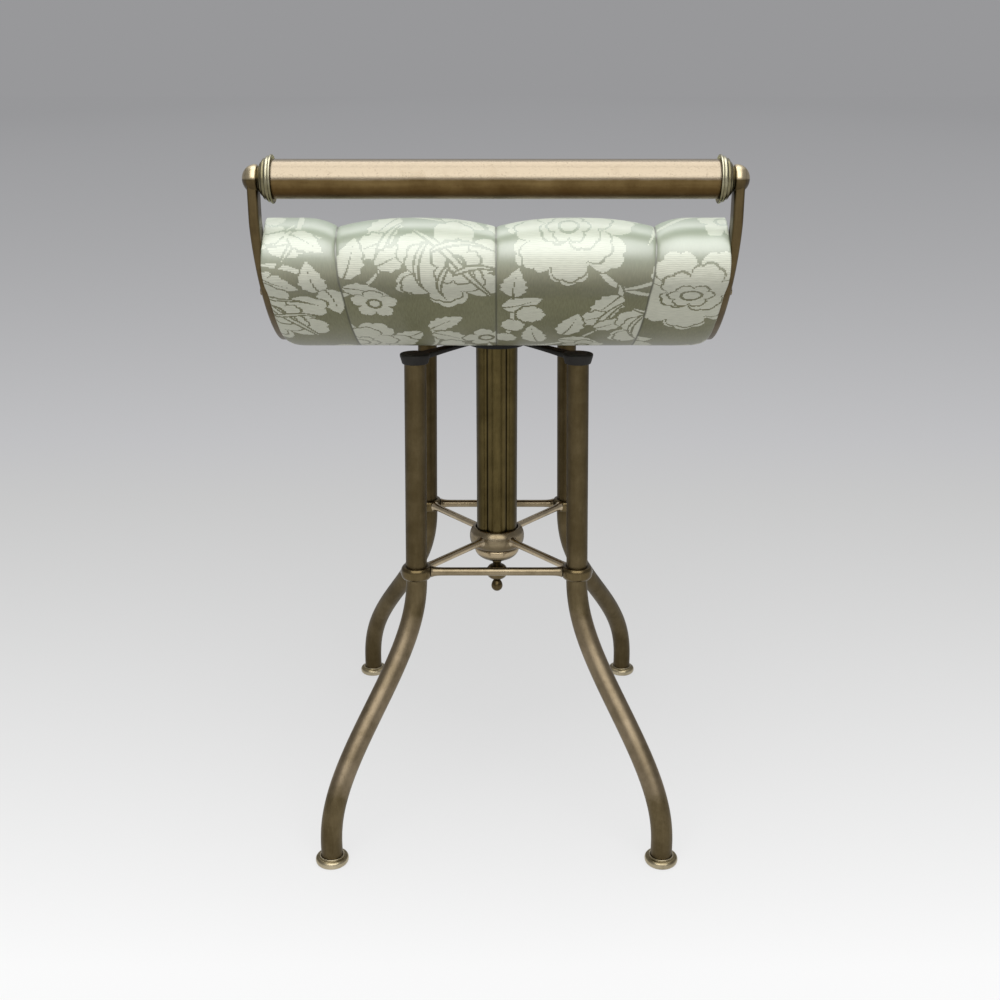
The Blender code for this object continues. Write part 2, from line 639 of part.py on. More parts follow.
plate_holes = [ring_points(PLATE_SCREW_RADIUS + CLEARANCE, 8, place) for place in plate_screw_places()]
plate = flat_piece(
    ring_points(PLATE_RADIUS, 32),
    [ring_points(TENON_RADIUS + CLEARANCE, 16), *plate_holes],
    PLATE_THICKNESS,
    place=(0, 0, PLATE_FOOT + PLATE_THICKNESS / 2),
)
finish(plate, "seat_plate", IRON, seat)


def headed_screw(head_point, direction, radius, length):
    """A screw with a low round head that seats at head_point and a shank along direction."""
    profile = [(0, SCREW_HEAD), (SCREW_HEAD_RADIUS * 0.7, SCREW_HEAD), (SCREW_HEAD_RADIUS, SCREW_HEAD * 0.4)]
    profile += [(SCREW_HEAD_RADIUS, 0), (radius, 0), (radius, -length), (0, -length)]
    turn = (-Vector(direction)).to_track_quat("Z", "Y").to_euler()
    return as_mesh(turned(profile, place=head_point, turn=turn, steps=8))


screw_holes = []
for n, (x, y) in enumerate(plate_screw_places(), 1):
    screw = headed_screw((x, y, PLATE_FOOT - CLEARANCE), (0, 0, 1), PLATE_SCREW_RADIUS, PLATE_SCREW_LENGTH)
    finish(screw, f"plate_screw_{n}", STEEL, seat)
    hole_top = PLATE_FOOT + PLATE_SCREW_LENGTH
    screw_holes.append(rod((x, y, PLATE_FOOT), (x, y, hole_top), PLATE_SCREW_RADIUS + CLEARANCE, 8))


def back_curve(share):
    """A point of the back's outer line and its inward normal. share runs from the flat bottom to the top."""
    a = math.pi / 2 * share
    power = 2 / BACK_ROUNDNESS
    y = -BACK_START - BACK_RUN * math.sin(a) ** power
    z = SEAT_BOTTOM + BACK_RISE * (1 - math.cos(a) ** power)
    along_y = -BACK_RUN * math.sin(a) ** (power - 1) * math.cos(a)
    along_z = BACK_RISE * math.cos(a) ** (power - 1) * math.sin(a)
    if share <= 0:
        along_y, along_z = -1.0, 0.0
    if share >= 1:
        along_y, along_z = 0.0, 1.0
    size = math.hypot(along_y, along_z)
    return (y, z), (along_z / size, -along_y / size)


def back_line(inset, last=1.0, steps=9):
    """The back's outer line, moved inwards, from the flat bottom upwards."""
    points = []
    for k in range(steps + 1):
        (y, z), (ny, nz) = back_curve(last * k / steps)
        points.append((y + ny * inset, z + nz * inset))
    return points


def board_outline(grow):
    """The bent seat board. It leaves the flat bottom along a ramp and then follows the back's curve."""
    ramp_start = -(BACK_START - BOARD_RAMP)
    last = BOARD_TOP_SHARE
    if grow:
        ramp = (BACK_START - PAD_EDGE) / BOARD_RAMP
        low = BOARD_INSET * (1 - ramp) - grow
        lower = [(BOARD_FRONT + grow, SEAT_BOTTOM - grow * 4), (-PAD_EDGE, SEAT_BOTTOM - grow * 4), (-PAD_EDGE, SEAT_BOTTOM + low)]
        last += grow / (BACK_RUN + BACK_RISE)
    else:
        lower = [(BOARD_FRONT, SEAT_BOTTOM), (ramp_start, SEAT_BOTTOM)]
    upper = [(ramp_start, SEAT_BOTTOM + BOARD_THICKNESS + grow), (BOARD_FRONT + grow, SEAT_BOTTOM + BOARD_THICKNESS + grow)]
    outer = back_line(BOARD_INSET - grow, last)
    inner = back_line(BOARD_INSET + BOARD_THICKNESS + grow, last)
    return [*lower, *outer, *inner[::-1], *upper]


def strap_screw_places():
    """Where the straps are screwed to the board's edges, in Y and Z."""
    flat = SEAT_BOTTOM + (STRAP_INSET + BOARD_THICKNESS) / 2
    (y, z), (ny, nz) = back_curve(0.55)
    inset = BOARD_INSET + BOARD_THICKNESS / 2
    return [(STRAP_FRONT * 0.8, flat), (y + ny * inset, z + nz * inset)]


for side, sx in (("left", -1), ("right", 1)):
    for n, (y, z) in enumerate(strap_screw_places(), 1):
        head = (sx * (STRAP_OUTSIDE + CLEARANCE), y, z)
        screw = headed_screw(head, (-sx, 0, 0), STRAP_SCREW_RADIUS, STRAP_SCREW_LENGTH)
        finish(screw, f"strap_screw_{side}_{n}", BRASS, seat)
        hole_end = sx * (STRAP_OUTSIDE - STRAP_SCREW_LENGTH)
        screw_holes.append(rod((sx * STRAP_OUTSIDE, y, z), (hole_end, y, z), STRAP_SCREW_RADIUS + CLEARANCE, 8))

board = flat_piece(board_outline(0), [], 2 * SEAT_HALF_WIDTH, turn=ACROSS)
cut(board, joined(screw_holes), "board_screw_holes")
finish(board, "seat_board", BEECH, seat)


def cushion_outline():
    """The padded seat's section as (y, z, how far a channel is sewn in there): bottom, back, rim, hollow, sitting face, nose."""
    shoulder = SEAT_BOTTOM + RIM_SHOULDER
    height = 1 - RIM_SHOULDER / BACK_RISE
    last = math.acos(height ** (BACK_ROUNDNESS / 2)) / (math.pi / 2)
    sit = SEAT_BOTTOM + SEAT_THICKNESS
    nose = SEAT_FRONT - NOSE_LENGTH
    points = [(nose + (-BACK_START - nose) * k / 4, SEAT_BOTTOM, 0.0) for k in range(4)]
    for k, (y, z) in enumerate(back_line(0, last, 8)):
        shallow = BACK_SEWN * min(1.0, k / 3)  # the seams are shallow over the board and deepen at the rim
        points.append((y, z, shallow + (0.8 - BACK_SEWN) * max(0.0, (k - 6) / 2)))
    rim_middle = points[-1][0] + RIM_HALF
    for k in range(1, 6):
        a = math.pi * k / 6
        points.append((rim_middle - RIM_HALF * math.cos(a), shoulder + RIM_CROWN * math.sin(a), 1.0))
    inside = rim_middle + RIM_HALF
    for k in range(6):
        a = math.pi / 2 * k / 6
        y = -HOLLOW_START + (inside + HOLLOW_START) * math.cos(a)
        points.append((y, shoulder - (shoulder - sit) * math.sin(a), 1.0))
    for k in range(6):
        share = k / 6
        crown = SITTING_CROWN * math.sin(math.pi * share)
        points.append((-HOLLOW_START + (nose + HOLLOW_START) * share, sit + crown, 1.0))
    for k in range(6):
        a = math.pi * k / 6
        half = SEAT_THICKNESS / 2
        points.append((nose + NOSE_LENGTH * math.sin(a), SEAT_BOTTOM + half + half * math.cos(a), min(1.0, (6 - k) / 3)))
    return points


def cushion():
    """The section carried across the seat, drawn in at each sewn channel and towards both sides."""
    outline = cushion_outline()
    count = len(outline)
    seams = [-SEAT_HALF_WIDTH, -SEAM_OFFSET, 0.0, SEAM_OFFSET, SEAT_HALF_WIDTH]
    stations = [(-SEAT_HALF_WIDTH, SIDE_DRAW)]
    for n, (left, right) in enumerate(zip(seams, seams[1:])):
        places = [-0.6, 0.0, 0.6, 1.0] if 0 < n < 3 else [-0.85, -0.4, 0.0, 0.4, 0.85, 1.0]
        for u in places:
            side = left == seams[0] and u < 0 or right == seams[-1] and u > 0
            drawn = SIDE_DRAW if side else CHANNEL_DEPTH
            stations.append(((left + right) / 2 + u * (right - left) / 2, drawn * (1 - math.sqrt(1 - u * u))))
    normals = []
    for k in range(count):
        (y0, z0, _), (y1, z1, _) = outline[k - 1], outline[(k + 1) % count]
        size = math.hypot(y1 - y0, z1 - z0)
        normals.append(((z1 - z0) / size, -(y1 - y0) / size))
    bm = bmesh.new()
    rings = []
    for x, depth in stations:
        ring = []
        for (y, z, sewn), (ny, nz) in zip(outline, normals):
            ring.append(bm.verts.new((x, y + ny * depth * sewn, z + nz * depth * sewn)))
        rings.append(ring)
    for low, high in zip(rings, rings[1:]):
        for k in range(count):
            bm.faces.new((low[k], low[(k + 1) % count], high[(k + 1) % count], high[k]))
    bm.faces.new(rings[0])
    bm.faces.new(rings[-1])
    bmesh.ops.recalc_face_normals(bm, faces=bm.faces)
    return mesh_object(bm)


padding = cushion()
pocket = flat_piece(board_outline(CLEARANCE), [], 2.2 * SEAT_HALF_WIDTH, turn=ACROSS)
cut(padding, pocket, "board_pocket")
finish(padding, "seat_cushion", DAMASK, seat, 60)


# The straps and the grip rail


def strap_outline():
    """A flat strap along the seat's side, up the back and round the rail's rod."""
    low = SEAT_BOTTOM + STRAP_INSET
    high = low + STRAP_WIDTH
    outer = back_line(STRAP_INSET)
    inner = back_line(STRAP_INSET + STRAP_WIDTH)
    start = math.asin(STRAP_WIDTH / 2 / EYE_RADIUS)
    eye = []
    for k in range(11):
        a = start + (math.tau - 2 * start) * k / 10
        eye.append((RAIL_Y - EYE_RADIUS * math.sin(a), RAIL_Z - EYE_RADIUS * math.cos(a)))
    tip = []
    for k in range(1, 6):
        a = math.pi / 2 - math.pi * k / 6
        tip.append((STRAP_FRONT + STRAP_WIDTH / 2 * math.cos(a), (low + high) / 2 + STRAP_WIDTH / 2 * math.sin(a)))
    return [(STRAP_FRONT, low), *outer, *eye, *inner[::-1], (STRAP_FRONT, high), *tip]


def cup_profile():
    """A stepped cup over the end of the rail: a bead, then a flange whose mouth takes the tube."""
    bore = RAIL_ROD_RADIUS + CLEARANCE
    mouth = RAIL_RADIUS + CLEARANCE
    outer = [(CUP_BEAD_RADIUS * 0.6, CUP_LENGTH), (CUP_BEAD_RADIUS * 0.92, CUP_LENGTH * 0.93), (CUP_BEAD_RADIUS, CUP_LENGTH * 0.78)]
    outer += [(CUP_BEAD_RADIUS * 0.95, CUP_LENGTH * 0.62), (CUP_RADIUS * 0.96, CUP_LENGTH * 0.5), (CUP_RADIUS, CUP_LENGTH * 0.3)]
    outer += [(CUP_RADIUS, CUP_LENGTH * 0.1), (CUP_RADIUS * 0.97, 0), (mouth, 0), (mouth, CUP_RECESS), (bore, CUP_RECESS)]
    return [(bore, CUP_LENGTH), *outer]


def dome_nut_profile():
    """A domed nut on the end of the rail's rod, bored part of the way."""
    bore = RAIL_ROD_RADIUS + CLEARANCE
    depth = DOME_NUT_LENGTH - DOME_NUT_COVER
    points = [(0, DOME_NUT_LENGTH)]
    for k in range(1, 5):
        a = math.pi / 2 * (1 - k / 4)
        points.append((EYE_RADIUS * math.cos(a), DOME_NUT_LENGTH * (0.15 + 0.85 * math.sin(a))))
    return [*points, (EYE_RADIUS * 0.97, 0), (bore, 0), (bore, depth), (0, depth)]


for side, sx in (("left", -1), ("right", 1)):
    holes = [ring_points(STRAP_SCREW_RADIUS + CLEARANCE, 8, place) for place in strap_screw_places()]
    holes.append(ring_points(RAIL_ROD_RADIUS + CLEARANCE, 16, (RAIL_Y, RAIL_Z)))
    middle = sx * (STRAP_FACE + STRAP_THICKNESS / 2)
    strap = flat_piece(strap_outline(), holes, STRAP_THICKNESS, place=(middle, 0, 0), turn=ACROSS)
    finish(strap, f"strap_{side}", BRASS, seat)
    outward = (0, sx * math.pi / 2, 0)
    cup = turned(cup_profile(), ring=True, place=(sx * CUP_MOUTH, RAIL_Y, RAIL_Z), turn=outward, steps=20)
    finish(cup, f"rail_cup_{side}", PALE_BRASS, seat)
    nut_face = sx * (STRAP_OUTSIDE + CLEARANCE)
    finish(turned(dome_nut_profile(), place=(nut_face, RAIL_Y, RAIL_Z), turn=outward), f"rail_nut_{side}", PALE_BRASS, seat)

rail_line = [(x, RAIL_Y, RAIL_Z) for x in (-RAIL_END, RAIL_END)]
finish(pipe(rail_line, RAIL_RADIUS, RAIL_WALL), "rail_tube", BRASS, seat)
rod_half = STRAP_OUTSIDE + DOME_NUT_LENGTH - DOME_NUT_COVER - CLEARANCE
finish(rod((-rod_half, RAIL_Y, RAIL_Z), (rod_half, RAIL_Y, RAIL_Z), RAIL_ROD_RADIUS), "rail_rod", STEEL, seat)
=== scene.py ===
import math
from functools import partialmethod

import bmesh
import bpy
import numpy as np
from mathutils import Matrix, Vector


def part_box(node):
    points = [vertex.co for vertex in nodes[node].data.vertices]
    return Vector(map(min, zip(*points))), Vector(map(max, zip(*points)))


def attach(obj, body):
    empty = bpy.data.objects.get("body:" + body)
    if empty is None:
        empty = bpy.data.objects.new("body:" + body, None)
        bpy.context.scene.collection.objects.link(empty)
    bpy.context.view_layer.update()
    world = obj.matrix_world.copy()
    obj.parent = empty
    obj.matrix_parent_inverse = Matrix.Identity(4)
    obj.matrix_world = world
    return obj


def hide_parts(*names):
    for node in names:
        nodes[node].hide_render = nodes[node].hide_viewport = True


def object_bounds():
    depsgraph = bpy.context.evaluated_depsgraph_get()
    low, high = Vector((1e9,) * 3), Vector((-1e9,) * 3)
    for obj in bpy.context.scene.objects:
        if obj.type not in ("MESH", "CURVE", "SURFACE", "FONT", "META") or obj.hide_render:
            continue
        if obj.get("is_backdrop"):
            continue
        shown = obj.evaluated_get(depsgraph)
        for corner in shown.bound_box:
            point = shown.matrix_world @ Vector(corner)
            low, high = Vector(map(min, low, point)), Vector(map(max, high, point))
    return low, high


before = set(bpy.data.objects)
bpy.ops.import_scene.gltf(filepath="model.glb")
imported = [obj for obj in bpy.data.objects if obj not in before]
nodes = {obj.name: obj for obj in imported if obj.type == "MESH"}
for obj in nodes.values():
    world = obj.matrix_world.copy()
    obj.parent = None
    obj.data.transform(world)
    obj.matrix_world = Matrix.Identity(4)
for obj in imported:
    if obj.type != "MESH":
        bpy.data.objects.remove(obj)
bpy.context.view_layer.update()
scene = bpy.context.scene
scene.view_settings.view_transform = "Standard"
print("frame loaded:", len(nodes), "nodes")

corners = {"back_left": (-1, -1), "back_right": (1, -1), "front_left": (-1, 1), "front_right": (1, 1)}
join = np.concatenate


# surfaces as grids

def softStep(t):
    # 3t^2 - 2t^3: from 0 to 1 with level ends
    t = np.clip(t, 0, 1)
    return t * t * (3 - 2 * t)


def fullTurn(steps):
    # even angles once round
    return np.linspace(0, 2 * np.pi, steps, endpoint=False)


def unit(vectors):
    # each vector divided by its own length
    return vectors / np.linalg.norm(vectors, axis=-1, keepdims=True)


def boxy(values, power):
    # sign(v) * |v|^power: with a small power a circle's cosine and sine draw a rounded oblong
    return np.sign(values) * np.abs(values) ** power


def roundCorners(points, reach, steps=6):
    # each inner corner becomes a quadratic curve between the points its reach away on both sides; in tenths of a millimetre
    p, reach = np.asarray(points) / 1e4, np.asarray(reach)[:, None] / 1e4
    corner = p[1:-1]
    ends = []
    for leg in (p[:-2] - corner, p[2:] - corner):
        length = np.linalg.norm(leg, axis=1, keepdims=True)
        ends.append(corner + leg / length * np.minimum(reach, length * 0.48))
    s = np.linspace(0, 1, steps)[None, :, None]
    curve = (1 - s) ** 2 * ends[0][:, None] + 2 * s * (1 - s) * corner[:, None] + s**2 * ends[1][:, None]
    return join([p[:1], curve.reshape(-1, 2), p[-1:]])


def turnedGrid(profile, centre, axis="z", steps=56, face=1):
    # every (radius, height) of the profile goes round the axis: (r cos t, r sin t, h)
    r, h = profile.T
    t = fullTurn(steps)
    flat = r[:, None, None] * np.stack([np.cos(t), np.sin(t)], -1)
    tall = np.broadcast_to(face * h[:, None, None], flat.shape[:2] + (1,))
    local = join([flat, tall], -1)
    if axis == "x":
        local = local[..., [2, 0, 1]]
    return local + centre


def sweptGrid(path, radius, sideways, steps=40):
    # a circle at each point of the path, square to it: p + r (cos t * side + sin t * up), with closed ends
    radius = join([[0], np.broadcast_to(radius, len(path)), [0]])[:, None, None]
    up = np.cross(sideways, unit(np.gradient(path, axis=0)))
    path, up = (join([rows[:1], rows, rows[-1:]]) for rows in (path, up))
    t = fullTurn(steps)[None, :, None]
    return path[:, None] + radius * (np.cos(t) * sideways + np.sin(t) * up[:, None])


def closeEnds(grid):
    # the middles of the first and the last ring close a bar's ends
    middle = np.broadcast_to(grid[[0, -1]].mean(1, keepdims=True), (2,) + grid.shape[1:])
    return join([middle[:1], grid, middle[1:]])


def gridQuads(rows, columns, ring, loop, first):
    # corner numbers of all quads; ring joins the last column to the first, loop the last row to the first
    r = np.arange(rows if loop else rows - 1)[:, None]
    c = np.arange(columns if ring else columns - 1)[None, :]
    after, beside = (r + 1) % rows, (c + 1) % columns
    quads = [r * columns + c, r * columns + beside, after * columns + beside, after * columns + c]
    return first + np.stack(np.broadcast_arrays(*quads), -1).reshape(-1, 4)


def gridMesh(name, points, quads, marks):
    # one mesh of several grids; marks give a value for each point
    mesh = bpy.data.meshes.new(name)
    mesh.from_pydata(join(points).tolist(), [], join(quads).tolist())
    for label, values in marks.items():
        mesh.attributes.new(label, "FLOAT", "POINT").data.foreach_set("value", values.astype(np.float32))
    return mesh


def cleanMesh(mesh, gap=2e-6):
    bm = bmesh.new()
    bm.from_mesh(mesh)
    bmesh.ops.remove_doubles(bm, verts=bm.verts, dist=gap)
    bmesh.ops.dissolve_degenerate(bm, dist=gap / 2, edges=bm.edges)
    bmesh.ops.recalc_face_normals(bm, faces=bm.faces)
    bm.to_mesh(mesh)
    bm.free()
    mesh.shade_smooth()


def addObject(name, data):
    holder = bpy.data.objects.new(name, data)
    scene.collection.objects.link(holder)
    return holder


def makePiece(node, form, patches, finish, body="base", sharp=55, name=None):
    # patches: (grid, loop, value); the value is for each row, each point or the whole patch: 1 is bright, below 0 is
    # dark; it carries real rubbing and tarnish, and also painted highlights and painted shade
    name = name or f"{node}_{form}"
    points, quads, wearAndLightValues, first = [], [], [], 0
    for grid, loop, wearAndLight in patches:
        rows, columns = grid.shape[:2]
        wearAndLight = np.asarray(wearAndLight, float)
        wearAndLight = wearAndLight[:, None] if wearAndLight.ndim == 1 else wearAndLight
        points.append(grid.reshape(-1, 3))
        wearAndLightValues.append(np.broadcast_to(wearAndLight, (rows, columns)).ravel())
        quads.append(gridQuads(rows, columns, True, loop, first))
        first += rows * columns
    mesh = gridMesh(name, points, quads, {"wearAndLight": join(wearAndLightValues)})
    cleanMesh(mesh)
    mesh.set_sharp_from_angle(angle=math.radians(sharp))
    mesh.materials.append(finishes[finish])
    piece = addObject(name, mesh)
    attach(piece, body)
    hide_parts(node)


# nodes

class Wire:
    # a node's output; a sum or a comparison with it adds a Math node to its tree
    def __init__(self, socket):
        self.socket, self.tree = socket, socket.id_data

    def calc(self, operation, *terms):
        return wire(self.tree, "Math", dict(enumerate((self,) + terms)), operation=operation)

    __add__, __sub__ = partialmethod(calc, "ADD"), partialmethod(calc, "SUBTRACT")
    __mul__, __pow__ = partialmethod(calc, "MULTIPLY"), partialmethod(calc, "POWER")
    __gt__, __lt__ = partialmethod(calc, "GREATER_THAN"), partialmethod(calc, "LESS_THAN")
    __abs__ = partialmethod(calc, "ABSOLUTE")

    def rest(self, whole=1.0):
        # what is left of the whole
        return wire(self.tree, "Math", {0: whole, 1: self}, operation="SUBTRACT")

    def ranged(self, low=0.0, high=1.0, toLow=0.0, toHigh=1.0, way="LINEAR"):
        values = {0: self, 1: low, 2: high, 3: toLow, 4: toHigh}
        return wire(self.tree, "MapRange", values, interpolation_type=way)

    def blend(self, a, b):
        # from colour a to colour b
        return wire(self.tree, "Mix", {0: self, 6: a, 7: b}, 2, data_type="RGBA")

    def split(self):
        return list(wires(put(self.tree, "SeparateXYZ", {0: self})).values())

    def noise(self, scale, detail, roughness=0.5, distortion=0.0):
        values = {"Vector": self, "Scale": scale, "Detail": detail, "Roughness": roughness, "Distortion": distortion}
        return wire(self.tree, "TexNoise", values)


def feed(node, values):
    # an input takes a number, a colour or a wire
    for key, value in values.items():
        if isinstance(value, Wire):
            node.id_data.links.new(value.socket, node.inputs[key])
        else:
            node.inputs[key].default_value = value


def put(tree, kind, values=None, **settings):
    node = tree.nodes.new("ShaderNode" + kind)
    for key, value in settings.items():
        setattr(node, key, value)
    feed(node, values or {})
    return node


def wire(tree, kind, values=None, output=0, **settings):
    return Wire(put(tree, kind, values, **settings).outputs[output])


def wires(node):
    return {socket.name: Wire(socket) for socket in node.outputs}


def objectPlace(tree):
    return wire(tree, "TexCoord", output="Object")


def stretch(vector, scale):
    return wire(vector.tree, "Mapping", {"Vector": vector, "Scale": scale})


def bump(height, strength, distance):
    return wire(height.tree, "Bump", {"Height": height, "Strength": strength, "Distance": distance})


def newGroup(name, vectors, values=()):
    # returns the group's tree and its inputs
    tree = bpy.data.node_groups.new(name, "ShaderNodeTree")
    for kind, labels in (("NodeSocketVector", vectors), ("NodeSocketFloat", values)):
        for label in labels:
            tree.interface.new_socket(label, in_out="INPUT", socket_type=kind)
    return tree, wires(tree.nodes.new("NodeGroupInput"))


def endGroup(tree, kind, results):
    for label in results:
        tree.interface.new_socket(label, in_out="OUTPUT", socket_type=kind)
    feed(tree.nodes.new("NodeGroupOutput"), results)


def place(tree, group, values):
    return wires(put(tree, "Group", values, node_tree=group))


def newMaterial(name):
    material = bpy.data.materials.new(name)
    material.use_nodes = True
    tree = material.node_tree
    return material, tree, tree.nodes["Principled BSDF"]


def linear(*code):
    # display values 0 to 255 as linear light
    c = np.asarray(code, float) / 255
    return (*np.where(c <= 0.04045, c / 12.92, ((c + 0.055) / 1.055) ** 2.4).tolist(), 1.0)


# patina: blotches, streaks, pits and rubbed edges for all the metals, with the painted highlights and painted shade
# that the wear value brings
patina, given = newGroup("patina", ("Place", "Stretch"), ("WearAndLight",))
stretched = wire(patina, "VectorMath", {0: given["Place"], 1: given["Stretch"]}, operation="MULTIPLY")
blotches = given["Place"].noise(46.0, 5.0, 0.62)
streaks = stretched.noise(420.0, 3.0, 0.6)
pits = given["Place"].noise(900.0, 2.0, 0.7).ranged(0.60, 0.72)
uneven = blotches - 0.5
endGroup(patina, "NodeSocketFloat", {
    "Tone": ((streaks - 0.5) * 0.45 + blotches).ranged(0.28, 0.72, 0.45, 1.0),
    "RubbedAndLit": (uneven * 0.6 + given["WearAndLight"]).ranged(0.40, 0.92),
    "TarnishAndShade": (uneven * 0.35 + given["WearAndLight"]).ranged(-1.0, -0.05, 1.0, 0.0),  # below zero the value darkens: real tarnish, and painted shade on the parts given it
    "Pits": pits,
    "Height": streaks * 0.4 + pits * -0.6})

metalLooks = {  # dark, middle and rubbed colours, roughness from rubbed to dull, metal share, stretch of the streaks; the rubbed colour also serves as painted highlight and the dark one as painted shade
    "agedBrass": ((62, 51, 28), (112, 98, 70), (172, 155, 126), 0.20, 0.32, 1.0, (1, 1, 0.12)),
    "legBrass": ((62, 51, 28), (112, 99, 73), (154, 139, 117), 0.42, 0.48, 1.0, (1, 1, 0.12)),
    "columnBrass": ((46, 38, 18), (96, 84, 52), (150, 136, 98), 0.22, 0.34, 1.0, (1, 1, 0.08)),
    "railBrass": ((62, 43, 17), (120, 100, 64), (151, 139, 120), 0.25, 0.33, 1.0, (0.05, 1, 1)),
    "paleBrass": ((72, 62, 38), (160, 147, 116), (212, 200, 172), 0.24, 0.36, 1.0, (1, 1, 0.5)),
    "cupBrass": ((60, 56, 38), (134, 127, 99), (192, 187, 162), 0.26, 0.36, 1.0, (0.5, 1, 1)),
    # the rods and the hub are painted lighter, as if reflecting a bright sky above: a painted reflection in their
    # colours
    "litRodBrass": ((84, 72, 50), (152, 138, 112), (204, 188, 160), 0.22, 0.32, 1.0, (0.3, 0.3, 1)),
    "strapBrass": ((58, 47, 29), (98, 84, 57), (198, 183, 151), 0.28, 0.42, 1.0, (1, 0.2, 0.2)),
    "blackIron": ((20, 19, 18), (38, 36, 33), (96, 88, 76), 0.45, 0.68, 0.55, (1, 1, 1)),
    "steel": ((84, 82, 78), (140, 138, 132), (196, 194, 188), 0.28, 0.48, 1.0, (1, 1, 0.3)),
}


def metalMaterial(name):
    *colours, shine, dull, share, streakScale = metalLooks[name]
    dark, middle, rubbedAndLit = (linear(*colour) for colour in colours)
    material, tree, shader = newMaterial(name)
    wearAndLight = wire(tree, "Attribute", output="Fac", attribute_name="wearAndLight")
    look = place(tree, patina, {"Place": objectPlace(tree), "Stretch": streakScale, "WearAndLight": wearAndLight})
    colour = look["Tone"].blend(dark, middle)
    colour = look["RubbedAndLit"].blend(colour, rubbedAndLit)
    colour = look["TarnishAndShade"].blend(colour, dark)
    colour = (look["Pits"] * 0.35).blend(colour, dark)
    mild = (shine + dull) / 2
    rough = look["RubbedAndLit"] * (shine - mild) + look["Tone"].ranged(toLow=dull, toHigh=mild)
    feed(shader, {"Base Color": colour, "Roughness": rough, "Metallic": share, "Normal": bump(look["Height"], 0.35, 0.0002)})
    return material


finishes = {name: metalMaterial(name) for name in metalLooks}

beechLooks = {"dark": (104, 78, 50), "pale": (164, 130, 90), "fleck": (84, 60, 38), "grain": (26, 3.5, 60)}
finishes["beech"], tree, shader = newMaterial("beech")
grain = stretch(objectPlace(tree), beechLooks["grain"])
rings = grain.noise(3.0, 6.0, 0.65, 0.6)
flecks = grain.noise(26.0, 2.0)
colour = rings.ranged(0.35, 0.68).blend(linear(*beechLooks["dark"]), linear(*beechLooks["pale"]))
colour = flecks.ranged(0.58, 0.7, 0.0, 0.6).blend(colour, linear(*beechLooks["fleck"]))
feed(shader, {"Base Color": colour, "Roughness": rings.ranged(toLow=0.75, toHigh=0.5), "Normal": bump(flecks, 0.3, 0.0004)})
print("metal and wood finishes ready")

# the stand

legs = {"radius": 0.0095, "foot": (0.1467, 0.1923), "collar": (0.0725, 0.0979), "top": (0.0700, 0.0945),
        "straight": 0.018, "bendTop": 0.237, "heights": (0.0038, 0.4374), "upper": (0.252, 0.432), "stations": 150,
        "litBelow": (0.275, 0.10), "darkerBelow": (0.080, 0.065), "nearLegLight": (1.15, -0.50), "farLegShade": (0.5, -0.68)}


def legLine(sx, sy):
    # plan = foot + (collar - foot) * share, where share is the mean of a smooth step and a smoother step of the height
    z = np.linspace(*legs["heights"], legs["stations"])
    rise = np.clip((z - legs["straight"]) / (legs["bendTop"] - legs["straight"]), 0, 1)
    share = (softStep(rise) + rise**3 * (10 - 15 * rise + 6 * rise**2)) / 2
    lean = np.clip((z - legs["upper"][0]) / (legs["upper"][1] - legs["upper"][0]), 0, 1)[:, None]
    foot, collar, top = (np.asarray(legs[key]) for key in ("foot", "collar", "top"))
    plan = foot + (collar - foot) * share[:, None] + (top - collar) * lean
    return join([plan * (sx, sy), z[:, None]], 1)


def legLightAndShade(z, near):
    # painted light on the lower bend, painted shade on the part under the seat and on the far legs, and darker again
    # just above the foot
    (rubbedAndLit, litRun), (darkened, darkenedRun) = legs["litBelow"], legs["darkerBelow"]
    bend = softStep((rubbedAndLit - z) / litRun) - 0.85 * softStep((darkened - z) / darkenedRun)
    gain, least = legs["nearLegLight"] if near else legs["farLegShade"]
    return join([[0], gain * bend + least, [0]])


feet = {"profile": [(0, 35), (97, 35), (97, 82), (108, 84), (112, 70), (120, 73), (141, 62), (148, 42), (143, 14), (128, 0), (0, 0)],
        "reach": [1, 4, 5, 4, 8, 18, 16, 14, 8], "highlightLip": (0.0104, 0.0005)}
footProfile = roundCorners(feet["profile"], feet["reach"])
collars = {"radius": 0.014, "length": 0.011, "bore": 0.0097, "height": 0.241, "rounding": 0.0017}


def ringProfile(bore, radius, length, rounding, foot, power=3.2):
    # a closed section: a straight bore and a barrel-shaped outside, r = radius - rounding * |h|^power
    half = length / 2
    h = np.linspace(-1, 1, 41)
    outside = radius - rounding * np.abs(h) ** power
    profile = np.stack([outside, foot + half + half * h], 1)
    return join([[(bore, foot)], profile, [(bore, foot + length)]])


def radiusWearAndLight(profile, low, high):
    return softStep((profile[:, 0] - low) / (high - low))


rods = {"stretcher": 0.0038, "spoke": 0.0034, "fillet": 0.0016, "filletLength": 0.0028, "sunk": 0.0006, "hubEnd": 0.0259}


def rodGrid(start, end, radius):
    # a round rod whose radius swells by an exponential fillet of braze at both ends
    start, end = np.asarray(start, float), np.asarray(end, float)
    length = np.linalg.norm(end - start)
    fine = np.linspace(0, 0.012, 14)
    s = join([fine, np.linspace(0.014, length - 0.014, 24), length - fine[::-1]])
    swell = rods["fillet"] * (np.exp(-s / rods["filletLength"]) + np.exp(-(length - s) / rods["filletLength"]))
    along = (end - start) / length
    return sweptGrid(start + along * s[:, None], radius + swell, unit(np.cross((0, 0, 1), along)), 28)


screws = {"slot": 0.16, "deep": 0.35, "grub": (0.0014, 0.0005, 0.0036), "strapFace": 0.1829, "strapHead": (0.0011, 0.012)}


